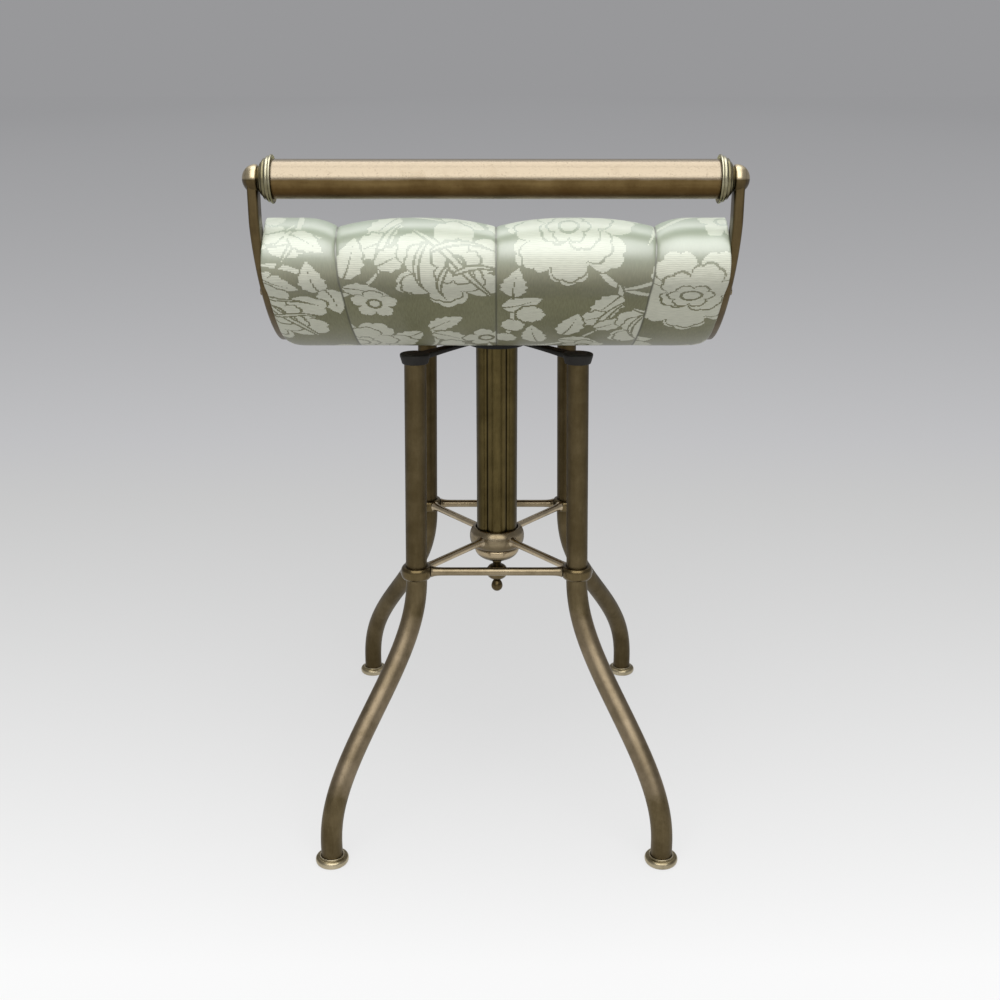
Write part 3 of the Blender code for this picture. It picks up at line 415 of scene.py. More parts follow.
def screwHead(centre, sx, radius, proud, sunk, turn):
    # a domed disc that faces along x, h = proud * (0.35 + 0.65 (1 - r^2)^0.5), cut by a straight slot; its edge is sunk
    axis = np.asarray((sx, 0.0, 0.0))
    across = np.cross(axis, (0, 0, 1))
    up = np.cross(axis, across)
    r = join([np.linspace(0, 0.96, 22), [1, 1]])
    t = fullTurn(64)
    h = proud * (0.35 + 0.65 * np.sqrt(np.clip(1 - r**2, 0, 1)))[:, None] * np.ones(64)
    inSlot = np.abs(r[:, None] * np.sin(t - turn)) < screws["slot"]
    h = np.where(inSlot, h - screws["deep"] * proud, h)
    h[-1] = -sunk
    r, h = join([r, [0]]), join([h, h[-1:]])
    flat = radius * r[:, None, None] * (np.cos(t)[:, None] * across + np.sin(t)[:, None] * up)
    return centre + flat + h[..., None] * axis


for corner, (sx, sy) in corners.items():
    outwards = np.append(np.subtract(legs["foot"], legs["collar"]) * (sx, sy), 0)
    line = legLine(sx, sy)
    grid = sweptGrid(line, legs["radius"], np.cross(unit(outwards), (0, 0, 1)))
    makePiece(f"leg_{corner}", "tube", [(grid, False, legLightAndShade(line[:, 2], sy < 0))], "legBrass")

    centre = (sx * legs["foot"][0], sy * legs["foot"][1], 0)
    highlightRadius, highlightWidth = feet["highlightLip"]
    # a painted highlight rings the inner lip, where the edge would catch the light
    wearAndLight = radiusWearAndLight(footProfile, 0.0118, 0.0146) * 0.55 + 0.1 + np.exp(-(((footProfile[:, 0] - highlightRadius) / highlightWidth) ** 2))
    makePiece(f"foot_{corner}", "ferrule", [(turnedGrid(footProfile, centre), False, wearAndLight)], "paleBrass")

    centre = np.asarray((sx * legs["collar"][0], sy * legs["collar"][1], collars["height"]))
    section = ringProfile(collars["bore"], collars["radius"], collars["length"], collars["rounding"], -collars["length"] / 2)
    wearAndLight = radiusWearAndLight(section, 0.0122, 0.014) * -0.35 + 0.25
    makePiece(f"collar_{corner}", "ring", [(turnedGrid(section, centre), True, wearAndLight)], "agedBrass")
    head = screwHead(centre + (sx * (collars["radius"] + 0.0002), 0, 0), sx, *screws["grub"], 0.7 + sx * sy)
    makePiece(f"grub_screw_{corner}", "head", [(head, False, 0.6)], "steel", sharp=40)

    inwards = -unit(centre * (1, 1, 0))
    start, end = centre + inwards * (collars["radius"] - rods["sunk"]), -inwards * rods["hubEnd"] + (0, 0, collars["height"])
    makePiece(f"spoke_{corner}", "rod", [(rodGrid(start, end, rods["spoke"]), False, 0.75)], "litRodBrass")

for depth, sy in (("back", -1), ("front", 1)):
    reach = legs["collar"][0] - collars["radius"] + rods["sunk"]
    ends = [(sx * reach, sy * legs["collar"][1], collars["height"]) for sx in (-1, 1)]
    makePiece(f"stretcher_{depth}", "rod", [(rodGrid(*ends, rods["stretcher"]), False, 0.3)], "litRodBrass")
print("legs, feet, collars and rods done")

column = {"crest": 0.0205, "groove": 0.0174, "wall": 0.0014, "reeds": 6, "heights": (0.232, 0.4339), "rows": 24, "points": 240,
          "hubBore": 0.0209, "hubRadius": 0.0265, "hub": (0.2315, 0.019), "cap": (0.2162, 0.2312), "capRadius": 0.0216,
          "bowl": 0.0118, "bore": 0.0028}


def reedRing(drop):
    # radius = groove + (crest - groove) * sqrt(|cos 3a|), with a from the back
    a = fullTurn(column["points"])
    lobe = np.sqrt(np.abs(np.cos(column["reeds"] / 2 * a)))
    r = column["groove"] + (column["crest"] - column["groove"]) * lobe - drop
    ring = np.broadcast_to(np.stack([r * np.sin(a), -r * np.cos(a)], 1), (column["rows"], column["points"], 2))
    return ring, lobe, softStep((np.abs(np.sin(a)) - 0.45) / 0.4)


outer, lobe, shadedFlank = reedRing(0)
inner = reedRing(column["wall"])[0]
heights = np.linspace(*column["heights"], column["rows"])
tall = join([heights, heights[::-1]])[:, None, None] * np.ones((1, column["points"], 1))
# the grooves have tarnished more than the crests, and so has the bore; the flanks facing the sides get painted shade
wearAndLight = np.tile(softStep((lobe - 0.1) / 0.4) * 0.9 - 0.9 - 0.55 * shadedFlank, (len(tall), 1))
wearAndLight[column["rows"]:] = -0.5
grid = join([join([outer, inner]), tall], -1)
makePiece("column_tube", "reeds", [(grid, True, wearAndLight)], "columnBrass", sharp=70, name="column_reeds")

section = ringProfile(column["hubBore"], column["hubRadius"], column["hub"][1], 0.0036, column["hub"][0], 2.6)
# painted light on the hub's upper half, painted shade on its underside
wearAndLight = np.interp(section[:, 1], [0.2315, 0.2365, 0.2415, 0.2455, 0.2505], [-0.75, -0.55, 0.35, 0.6, 0.0])
makePiece("hub_ring", "turned", [(turnedGrid(section, (0, 0, 0), steps=96), True, wearAndLight)], "litRodBrass")

# a flat lid with a rounded edge over a bowl: r = radius * cos a, z = foot + bowl * (1 - sin a / its last value)
foot, top = column["cap"]
a = np.linspace(0, 0.42 * np.pi, 24)
bowl = np.stack([column["capRadius"] * np.cos(a), foot + column["bowl"] * (1 - np.sin(a) / np.sin(a[-1]))], 1)
edge = [(column["capRadius"] * share, top - drop) for share, drop in ((0.9, 0), (0.985, 0.0012), (1.0, 0.0024))]
capProfile = join([[(column["bore"], top)], edge, bowl, [(column["bore"], foot)]])
# a painted highlight on the rim, the rest of the bowl darker
wearAndLight = radiusWearAndLight(capProfile, 0.018, 0.0216) * 1.5 - 0.5
makePiece("column_cap", "bowl", [(turnedGrid(capProfile, (0, 0, 0), steps=80), True, wearAndLight)], "agedBrass")

# a neck with a bead, a flattened dome, and a pear-shaped drop: a ball whose upper half is drawn out to a thin neck
finial = {"top": 0.2159, "bore": 0.0028, "boreDepth": 0.0075, "dome": (0.0026, 0.0078, 0.0074, 0.0129), "drop": (0.0056, 0.0086, 0.0281)}
neck, swell, domeHalf, domeDown = finial["dome"]
ball, drawn, dropDown = finial["drop"]
a = np.linspace(0.47 * np.pi, -0.47 * np.pi, 34)
dome = np.stack([neck + swell * np.cos(a) ** 0.8, domeHalf * np.sin(a) - domeDown], 1)
b = np.linspace(0.46 * np.pi, -0.5 * np.pi, 40)
taper, tall = np.where(b > 0, 1 - 0.35 * np.sin(b) ** 2, 1), np.where(b > 0, drawn, ball)
drop = np.stack([ball * np.cos(b) * taper, tall * np.sin(b) - dropDown], 1)
drop[-1, 0] = 0
bead = [(0, -finial["boreDepth"]), (finial["bore"], -finial["boreDepth"]), (finial["bore"], 0), (0.0052, 0), (0.0055, -0.0009),
        (0.0046, -0.0022), (0.0038, -0.0046)]
finialProfile = join([bead, dome, drop])
wearAndLight = radiusWearAndLight(finialProfile, 0.0058, 0.0104) - 0.55
makePiece("finial", "turned", [(turnedGrid(finialProfile, (0, 0, finial["top"])), False, wearAndLight)], "agedBrass")

spider = {"top": 0.4412, "socketFoot": 0.0092, "bossFoot": 0.0112, "armWidth": 0.011, "armDepth": 0.0065, "armDrop": 0.0012, "thin": 0.55}


def armGrid(sx, sy):
    # a rounded bar from the boss to a socket; its underside follows depth = thin + (1 - thin) * share^2.5
    reach = np.asarray((sx * legs["top"][0], sy * legs["top"][1]))
    share = np.linspace(0.19, 0.97, 40)
    depth = spider["armDepth"] * (spider["thin"] + (1 - spider["thin"]) * share**2.5)
    width = spider["armWidth"] * (1.12 - 0.24 * np.sin(np.pi * share))
    t = fullTurn(28)
    across = unit(np.asarray((-reach[1], reach[0])))
    plan = share[:, None, None] * reach + 0.5 * (width[:, None] * boxy(np.cos(t), 0.45))[..., None] * across
    z = spider["top"] - spider["armDrop"] - depth[:, None] / 2 * (1 - boxy(np.sin(t), 0.45))
    return closeEnds(join([plan, z[..., None]], -1))


socketProfile = roundCorners([(97, 0), (112, 0), (133, 73), (126, 87), (0, 87)], [4, 20, 12])
socketProfile = join([[(0, 0.0055), (0.0097, 0.0055)], socketProfile])
bossProfile = roundCorners([(208, 0), (262, 0), (268, 40), (268, 112), (224, 112), (224, 80), (157, 80), (157, 42), (208, 42)],
                           [12, 10, 12, 2, 2, 2, 2])
patches = [(turnedGrid(bossProfile, (0, 0, spider["top"] - spider["bossFoot"]), steps=96), True, 0.2)]
for sx, sy in corners.values():
    foot = (sx * legs["top"][0], sy * legs["top"][1], spider["top"] - spider["socketFoot"])
    patches += [(turnedGrid(socketProfile, foot, steps=64), False, 0.3), (armGrid(sx, sy), False, 0.1)]
makePiece("top_spider", "casting", patches, "blackIron")
print("column, hub, finial and spider done")

# the straps and the grip rail

seat = {"bottom": 0.4487, "backStart": 0.10, "backRun": 0.12, "backRise": 0.115, "power": 2 / 1.5}


def backLine(inset, last=1.0, count=70):
    # y = -start - run * sin(a)^p, z = bottom + rise * (1 - cos(a)^p), moved inwards along its normal
    a = np.linspace(1e-3, np.pi / 2 * last - (1e-3 if last == 1 else 0), count)
    p = seat["power"]
    y = -seat["backStart"] - seat["backRun"] * np.sin(a) ** p
    z = seat["bottom"] + seat["backRise"] * (1 - np.cos(a) ** p)
    alongY = -seat["backRun"] * np.sin(a) ** (p - 1) * np.cos(a)
    alongZ = seat["backRise"] * np.cos(a) ** (p - 1) * np.sin(a)
    size = np.hypot(alongY, alongZ)
    return np.stack([y + alongZ / size * inset, z - alongY / size * inset], 1)


rail = {"y": -0.207, "z": 0.5932, "radius": 0.0143, "half": 0.167, "cupMouth": 0.1633, "points": 120}
straps = {"face": 0.1746, "thick": 0.008, "inset": 0.005, "width": 0.016, "front": 0.10, "eye": 0.0106, "eyeBore": 0.0043}


def strapGrid(sx):
    # a rounded oblong, |a|^5 + |b|^5 = 1, carried along the seat's side, up the back's curve and on to the rail
    wide = straps["width"] / 2
    middle = backLine(straps["inset"] + wide)
    turn = np.linspace(0.03, np.pi / 2, 12)
    front = straps["front"]
    y = join([front + wide * np.cos(turn), np.linspace(front - 0.004, middle[0, 0] + 0.004, 40)])
    flat = np.stack([y, np.full(len(y), middle[0, 1])], 1)
    rise = np.stack([np.full(10, rail["y"]), np.linspace(middle[-1, 1] + 0.002, rail["z"], 10)], 1)
    path = join([flat, middle, rise])
    half = np.full(len(path), wide)
    half[:12] = wide * np.sin(turn)
    tangent = unit(np.gradient(path, axis=0))
    normal = np.stack([tangent[:, 1], -tangent[:, 0]], 1)
    t = fullTurn(36)
    a, b = boxy(np.cos(t), 0.4), boxy(np.sin(t), 0.4)
    plane = path[:, None] + (half[:, None] * a)[..., None] * normal[:, None]
    x = sx * (straps["face"] + straps["thick"] / 2 * (1 + b)) * np.ones((len(path), 1))
    wearAndLight = np.abs(a * b) ** 8 * 0.6  # only the edges are rubbed
    return closeEnds(join([x[..., None], plane], -1)), wearAndLight[None]


cupProfile = roundCorners(
    [(152, 30), (168, 6), (172, 0), (178, 5), (177, 16), (166, 21), (164, 27), (168, 33), (163, 45), (150, 50), (149, 57), (148, 70),
     (124, 80), (122, 88), (110, 96), (96, 100), (92, 110), (44, 110)], [6, 3, 4, 6, 4, 4, 6, 8, 4, 6, 10, 6, 6, 8, 5, 4])
cupProfile = join([cupProfile, [(0.0044, 0.0042), (0.0152, 0.0042)]])
# the eye and the domed nut share one outline, r = eye * sqrt(1 - ((h - 0.002) / 0.0098)^2), so they read as one knob
h = join([np.linspace(0.002, straps["thick"], 14), 0.0118 - 0.0037 * np.linspace(1, 0, 20) ** 2])
knob = np.stack([straps["eye"] * np.sqrt(np.clip(1 - ((h - 0.002) / 0.0098) ** 2, 0, 1)), h], 1)
eyeProfile = join([[(straps["eyeBore"], 0), (straps["eye"] - 0.0012, 0), (straps["eye"] - 0.0003, 0.0004)], knob[:14],
                   [(straps["eyeBore"], straps["thick"])]])
nutProfile = join([knob[14:], [(0, 0.0081)]])[::-1]
knobLight = (softStep(np.sin(fullTurn(56)) * 1.4 + 0.55) * 1.6 - 0.5)[None]  # painted light above, painted shade below
# brighter towards the rings' outer edges, with painted light on the upper side and painted shade underneath
cupWearAndLight = radiusWearAndLight(cupProfile, 0.0140, 0.0168)[:, None] * 0.8 + 0.45 * np.sin(fullTurn(72)) - 0.22
for side, sx in (("left", -1), ("right", 1)):
    end = (sx * straps["face"], rail["y"], rail["z"])
    grid, wearAndLight = strapGrid(sx)
    eye = turnedGrid(eyeProfile, end, "x", 56, sx)
    makePiece(f"strap_{side}", "bar", [(grid, False, wearAndLight), (eye, True, knobLight)], "strapBrass", body="seat", sharp=60)
    cup = turnedGrid(cupProfile, (sx * rail["cupMouth"], rail["y"], rail["z"]), "x", 72, sx)
    makePiece(f"rail_cup_{side}", "turned", [(cup, True, cupWearAndLight)], "cupBrass", "seat")
    dome = turnedGrid(nutProfile, end, "x", 56, sx)
    makePiece(f"rail_nut_{side}", "dome", [(dome, False, knobLight)], "strapBrass", body="seat")
    for n in (1, 2):
        node = f"strap_screw_{side}_{n}"
        low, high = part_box(node)
        middle = (low + high) / 2
        head = screwHead((sx * screws["strapFace"], middle.y, middle.z), sx, (high.z - low.z) / 2, *screws["strapHead"], 0.5 + n)
        makePiece(node, "head", [(head, False, 0.5)], "agedBrass", body="seat", sharp=40)

railX = join([[-1, -1, -0.996], np.linspace(-0.99, 0.99, 60), [0.996, 1, 1]]) * rail["half"]
railR = np.full(66, rail["radius"])
railR[[0, -1]] = 0
railR[[1, -2]] -= 0.0008
tube = turnedGrid(np.stack([railR, railX], 1), (0, rail["y"], rail["z"]), "x", rail["points"])
# a painted reflection of a bright sky along the top, painted shade below it and underneath
upwards = np.sin(fullTurn(rail["points"]))
wearAndLight = np.interp(upwards, [-1, -0.94, -0.80, -0.45, -0.16, -0.06, 0.12, 1], [-0.1, -0.2, -1, -0.6, -0.05, 0.25, 0.95, 1])
makePiece("rail_tube", "turned", [(tube, False, wearAndLight[None])], "railBrass", body="seat")
print("straps and rail done")

# damask: leaves, stems and blooms woven pale on a satin ground

leafLabels, bloomLabels = ("Bend", "Teeth", "Vein"), ("Petals", "Notch", "Split", "Heart")


def startMotif(name, labels):
    # the cloth comes in as x, y and the weave so far; returns the place in the motif's own frame too
    tree, given = newGroup(name, ("Cloth", "Middle", "Turn", "Size"), labels + ("Gap",))
    values = {"Vector": given["Cloth"], "Location": given["Middle"], "Rotation": given["Turn"], "Scale": given["Size"]}
    return tree, given, wire(tree, "Mapping", values, vector_type="TEXTURE")


def endMotif(tree, given, inside, cleared, dark):
    # the motif is pale where it is inside its outline and not dark; round it a gap is cleared of what was woven before
    x, y, before = given["Cloth"].split()
    drawn = (inside > 0.0) * dark.rest()
    kept = before * cleared.rest()
    after = wire(tree, "CombineXYZ", {0: x, 1: y, 2: kept.calc("MAXIMUM", drawn)})
    endGroup(tree, "NodeSocketVector", {"Cloth": after})
    return tree


# a leaf runs along x from 0 to 1; its half width is x^0.6 (1 - x) with teeth, about a line arched by x (1 - x)
tree, given, local = startMotif("leafMotif", leafLabels)
x, y, _ = local.split()
left = x.rest()
across = abs(y - x * left * given["Bend"])
teeth = (x * 31.0).calc("SINE") * given["Teeth"] + 2.65
inside = x**0.6 * left * teeth - across
cleared = (inside + given["Gap"] > 0.0) * (x > -0.02)
leafMotif = endMotif(tree, given, inside, cleared, across < x.rest(0.85) * given["Vein"])

# a bloom has scalloped petals; dark lines split them and ring its heart
tree, given, local = startMotif("bloomMotif", bloomLabels)
x, y, _ = local.split()
reach = wire(tree, "VectorMath", {0: local}, "Value", operation="LENGTH")
angle = y.calc("ARCTAN2", x)
between = (angle * given["Petals"]).calc("COSINE") * -0.5 + 0.5
turns = angle * (given["Petals"] * 0.5)
lobe = abs(turns.calc("COSINE")) ** 0.6
scallop = abs((turns * 3.0).calc("COSINE")) ** 0.7
inside = scallop * 0.07 + 0.93 - lobe.rest() * given["Notch"] - reach
split, heart = between * reach > given["Split"], abs(reach - given["Heart"]) < 0.07
bloomMotif = endMotif(tree, given, inside, inside + given["Gap"] > 0.0, split.calc("MAXIMUM", heart))

damask = {"thread": (0.0011, 0.00095, 1), "repeat": (0.196, 0.236), "gap": 0.0018, "vein": 0.10}
# leaves and stems: base x, base y, turn in degrees, length, half width, bend, teeth; all lengths in mm
leaves = [
    (74, 152, -35, 92, 2.9, -13, 0), (94, 120, 28, 84, 2.9, -12, 0), (97, 128, -98, 66, 2.4, 12, 0),
    (140, 122, -24, 50, 2.3, 12, 0), (100, 110, -128, 38, 12.5, 0.5, 0.3), (106, 86, -40, 40, 12, -0.4, 0.3),
    (94, 84, -160, 36, 11, 0.5, 0.25), (128, 124, 74, 36, 10.5, 0.5, 0.2), (146, 136, 12, 40, 11.5, -0.5, 0.2),
    (134, 112, -26, 36, 10.5, 0.3, 0.2), (18, 8, 40, 98, 2.4, -17, 0), (7, 30, 86, 84, 2.1, -9, 0),
    (86, 56, 68, 46, 2.1, 10, 0), (38, 30, 100, 38, 11, 0.5, 0.2), (58, 50, 74, 38, 11.5, -0.5, 0.25),
    (56, 38, -16, 36, 10.5, 0.5, 0.2), (84, 62, 30, 32, 9.5, -0.4, 0.2), (16, 108, 84, 36, 11, 0.6, 0.25),
    (8, 92, 24, 34, 10, -0.4, 0.2), (166, 182, -100, 60, 2.2, 13, 0), (119, 218, -94, 58, 2.2, 12, 0),
    (158, 150, -168, 30, 9, 0.4, 0.2), (162, 146, -30, 28, 8.5, 0.4, 0.2), (112, 208, 214, 40, 11, 0.5, 0.25),
    (122, 206, -34, 38, 11, 0.5, 0.25), (120, 214, 36, 34, 10, 0.5, 0.25), (180, 92, 100, 34, 10, 0.4, 0.2),
    (184, 96, -80, 36, 10.5, 0.4, 0.2),
]
# blooms, back to front: middle x, middle y, radius, petals, notch, turn in degrees, split, heart
blooms = [
    (58, 178, 50, 7, 0.3, 12, 0.92, 2), (53, 170, 38, 6, 0.3, 40, 0.93, 2), (61, 186, 29, 5, 0.32, 5, 0.92, 2),
    (57, 179, 16, 6, 0.3, 0, 1.2, 0.45), (140, 58, 46, 6, 0.4, 25, 0.86, 2), (133, 52, 33, 5, 0.36, 60, 0.9, 2),
    (144, 64, 19, 5, 0.32, 10, 0.88, 0.35), (166, 192, 20, 5, 0.4, 30, 0.88, 0.3), (136, 178, 11, 8, 0.14, 0, 2, 2),
    (148, 164, 9, 8, 0.14, 20, 2, 2), (184, 222, 9, 7, 0.14, 8, 2, 2), (30, 84, 12, 9, 0.14, 0, 2, 2),
    (16, 66, 10, 8, 0.14, 20, 2, 2), (10, 40, 10, 8, 0.16, 8, 2, 2), (78, 16, 19, 5, 0.42, 18, 0.86, 0.28),
]
# a stem with side stems over the ragged bloom
ribs = [(112, 92, -50, 92, 1.7, 18, 0), (126, 74, 8, 36, 1.3, 12, 0), (122, 80, -100, 34, 1.3, -14, 0),
        (142, 56, 6, 30, 1.2, 10, 0), (138, 62, -104, 28, 1.2, -10, 0)]

damaskWeave, given = newGroup("damaskWeave", ("Cloth",))
snapped = wire(damaskWeave, "VectorMath", {0: given["Cloth"], 1: damask["thread"]}, operation="SNAP")
x, y, _ = snapped.split()
repeatX, repeatY = damask["repeat"]
odd = x.calc("DIVIDE", repeatX).calc("FLOOR").calc("FLOORED_MODULO", 2.0)
dropped = odd * (repeatY / 2) + y
cloth = wire(damaskWeave, "CombineXYZ", {0: x.calc("FLOORED_MODULO", repeatX), 1: dropped.calc("FLOORED_MODULO", repeatY)})


def weave(cloth, group, labels, x, y, turn, length, half, *form):
    values = {"Cloth": cloth, "Middle": (x / 1000, y / 1000, 0), "Turn": (0, 0, math.radians(turn)),
              "Size": (length / 1000, half / 1000, 1e6), "Gap": damask["gap"] / half * 1000}
    return place(damaskWeave, group, values | dict(zip(labels, form)))["Cloth"]


def weaveLeaves(cloth, rows):
    # toothed leaves have a dark vein, plain stems have none
    for *form, teeth in rows:
        cloth = weave(cloth, leafMotif, leafLabels, *form, teeth, damask["vein"] if teeth else 0)
    return cloth


cloth = weaveLeaves(cloth, leaves)
for x, y, radius, petals, notch, turn, *lines in blooms:
    cloth = weave(cloth, bloomMotif, bloomLabels, x, y, turn, radius, radius, petals, notch, *lines)
endGroup(damaskWeave, "NodeSocketFloat", {"Motif": weaveLeaves(cloth, ribs).split()[2]})

damaskLooks = {"ground": (122, 121, 90), "groundDark": (106, 105, 75), "motif": (210, 210, 192), "motifDark": (177, 177, 159),
               "paintedSheenGround": (188, 205, 180), "paintedSheenMotif": (228, 238, 218), "seam": (66, 66, 46)}
satin = {"rib": 0.0016, "groundRough": 0.36, "motifRough": 0.52, "blendSpan": (0.520, 0.560, 0.0, 0.72), "seam": (0.0003, 0.0009, 0.8, 0.0),
         "crownLustre": (0.500, 0.548, 0.03, 0.62), "sittingLustre": (-0.17, -0.09, 0.0, 0.4)}
tint = {name: linear(*code) for name, code in damaskLooks.items()}
damaskCloth, tree, shader = newMaterial("damask")
uv = wire(tree, "UVMap")
motif = place(tree, damaskWeave, {"Cloth": uv})["Motif"]
ribWave = (uv.split()[1] * (2 * math.pi / satin["rib"])).calc("SINE")
slub = stretch(uv, (900, 160, 1)).noise(1.0, 3.0)
weft = stretch(uv, (160, 900, 1)).noise(1.0, 2.0)
cloud = uv.noise(22.0, 3.0)
ground = ((cloud - 0.5) * 0.9 + slub).ranged(0.30, 0.70).blend(tint["groundDark"], tint["ground"])
raised = ribWave * 0.22 + (weft * 0.9 + 0.12)
colour = motif.blend(ground, raised.ranged(0.15, 0.75).blend(tint["motifDark"], tint["motif"]))
_, depth, tall = objectPlace(tree).split()
paintedSheen = motif.blend(tint["paintedSheenGround"], tint["paintedSheenMotif"])  # a painted satin sheen pales the crown
colour = tall.ranged(*satin["blendSpan"], "SMOOTHSTEP").blend(colour, paintedSheen)
sewn = wire(tree, "Attribute", output="Fac", attribute_name="seam").ranged(*satin["seam"])
colour = sewn.blend(colour, tint["seam"])
# bright on the crown, less on the sitting side, dulled low down at the back
lustre = tall.ranged(*satin["crownLustre"], "SMOOTHSTEP").calc("MAXIMUM", depth.ranged(*satin["sittingLustre"], "SMOOTHSTEP"))
ribbed = motif * (ribWave * 0.30 + 0.9)
feed(shader, {
    "Base Color": colour,
    "Roughness": slub * 0.08 + motif.ranged(toLow=satin["groundRough"], toHigh=satin["motifRough"]),
    "Sheen Weight": 0.05, "Sheen Roughness": 0.35, "Specular IOR Level": 0.2,
    "Coat Weight": lustre * motif.ranged(toLow=1.0, toHigh=0.6), "Coat Roughness": 0.41, "Coat IOR": 3.8,
    "Normal": bump(ribbed + slub * 0.22, 0.55, 0.00028)})
print("damask ready:", len(leaves) + len(ribs), "leaves and stems,", len(blooms), "blooms")

# the padded seat

pad = {"thick": 0.0495, "front": 0.2245, "nose": 0.037, "sitCrown": 0.003, "shoulder": 0.0965, "leave": 0.05,
       "crownMiddle": (-0.1815, 0.0843), "crownRadius": 0.030, "crownInner": 0.0175, "hollow": 0.093, "half": 0.1743, "seam": 0.1205,
       "points": 134, "spacing": 0.0043, "crease": 0.0011, "sideDraw": 0.003, "lowSeam": 0.0065, "bulge": 0.0024, "beside": 0.1738,
       "capColumns": 7, "fill": 0.8}
panelShift = [(0.3163, 0.172), (0.175, 0.113), (0.003, 0.196), (-0.092, 0.263)]  # where each panel was cut from the cloth


def strip(y, z, depth, sag, limit):
    # a stretch of the outline: place, sewn depth, sag of the seam, and how far the filling may swell it
    return np.stack(np.broadcast_arrays(y, z, depth, sag, limit), 1)


def halfOutline(strips):
    # joins the strips and spaces the points evenly along the line
    line = join([strips[0]] + [later[1:] for later in strips[1:]])
    s = join([[0], np.cumsum(np.hypot(*np.diff(line[:, :2], axis=0).T))])
    even = np.linspace(0, s[-1], pad["points"] + 1)
    return np.stack([np.interp(even, s, line[:, k]) for k in range(line.shape[1])], 1), even


bottom, nose, hollow = seat["bottom"], pad["nose"], pad["hollow"]
middle, sit, shoulder = (bottom + rise for rise in (pad["thick"] / 2, pad["thick"], pad["shoulder"]))
noseY = pad["front"] - nose
last = math.acos((1 - pad["leave"] / seat["backRise"]) ** (1 / seat["power"])) / (math.pi / 2)
q = np.linspace(0, 1, 40)
cq, sq = np.cos(q * np.pi / 2), np.sin(q * np.pi / 2)
# the back leaves the scoop's line and runs by a cubic curve into the round crown
scoop = backLine(0, last, 60)
crownY, crownZ = pad["crownMiddle"][0], bottom + pad["crownMiddle"][1]
around = np.linspace(-0.26, np.pi / 2, 60)
arc = np.stack([crownY - pad["crownRadius"] * np.cos(around), crownZ + pad["crownRadius"] * np.sin(around)], 1)
top = arc[-1, 1]
reach = np.linalg.norm(arc[0] - scoop[-1]) * 0.36
leaving, entering = scoop[-1] + unit(scoop[-1] - scoop[-2]) * reach, arc[0] - unit(arc[1] - arc[0]) * reach
t = np.linspace(0, 1, 24)[1:-1, None]
bend = scoop[-1] * (1 - t) ** 3 + 3 * leaving * t * (1 - t) ** 2 + 3 * entering * t**2 * (1 - t) + arc[0] * t**3
back = join([scoop, bend, arc])
up = np.clip((back[:, 1] - bottom) / pad["shoulder"], 0, 1) ** 0.6
over = np.clip((back[:, 1] - shoulder) / (top - shoulder), 0, 1)
outerHalf, outerLength = halfOutline([  # nose, underside and back
    strip(noseY + nose * cq, middle - pad["thick"] / 2 * sq, 0.0042 * (1 - softStep(q)), 0, 0.004 * (1 - softStep(q))),
    strip(noseY + (back[0, 0] - noseY) * q, bottom + 0.0010 * softStep(q * 9) * softStep((1 - q) * 9), 0, q, 0),
    strip(*back.T, 0.0018 * softStep(3 * up) + 0.0036 * softStep(3.2 * up - 2.2) + 0.0014 * over, 1 - up,
          0.0008 + 0.0012 * softStep(2 * up - 1) + 0.001 * over)])
innerHalf, innerLength = halfOutline([  # nose, sitting side, hollow and the crown's inner side
    strip(noseY + nose * cq, middle + pad["thick"] / 2 * sq, 0.0042 + 0.0004 * q, 0, 0.004),
    strip(noseY + (-hollow - noseY) * q, sit + pad["sitCrown"] * np.sin(np.pi * q), 0.0046, 0, 0.005),
    strip(-hollow + (crownY + pad["crownInner"] + hollow) * sq, shoulder - (shoulder - sit) * cq, 0.0046 + 0.0014 * q, 0, 0.004),
    strip(crownY + pad["crownInner"] * cq, shoulder + (top - shoulder) * sq, 0.0060 + 0.0008 * q, 0, 0.003)])
m = pad["points"]
outline = join([outerHalf, innerHalf[-2:0:-1]])
ahead = unit(np.roll(outline[:, :2], -1, 0) - np.roll(outline[:, :2], 1, 0))
inwardY, inwardZ = ahead[:, 1], -ahead[:, 0]
number = np.arange(2 * m)
onBack = softStep(np.interp(number, [m * 0.62, m * 0.72, m * 0.90, m * 0.97], [0, 1, 1, 0]))
crownEnd = np.exp(-(((number - m) / 18.0) ** 2))  # the ends stay square at the crown


def panelStations(left, right):
    # even stations with one close beside each seam
    x = np.linspace(left, right, int(round((right - left) / pad["spacing"])) + 1)
    return join([[left, left + pad["crease"]], x[1:-1], [right - pad["crease"]]])


edges = np.asarray([-pad["half"], -pad["seam"], 0.0, pad["seam"], pad["half"]])
seams = edges[1:-1]
panels = [panelStations(a, b) for a, b in zip(edges, edges[1:])]
stations = join(panels + [edges[-1:]])
panelOf = join([np.full(len(p), n) for n, p in enumerate(panels)])
own = np.minimum(np.digitize(stations, seams), 3)
u = (stations - (edges[:-1] + np.diff(edges) / 2)[own]) / (np.diff(edges)[own] / 2)  # -1 to 1 across each panel
toSide = ((stations < edges[1]) & (u < 0)) | ((stations > edges[3]) & (u > 0))
sewnShape = np.where(toSide, 0, np.abs(u) ** 2.4)
sideShape = np.where(toSide, np.abs(u) ** 7, 0)
seamGap = np.abs(stations[:, None] - seams).min(1)

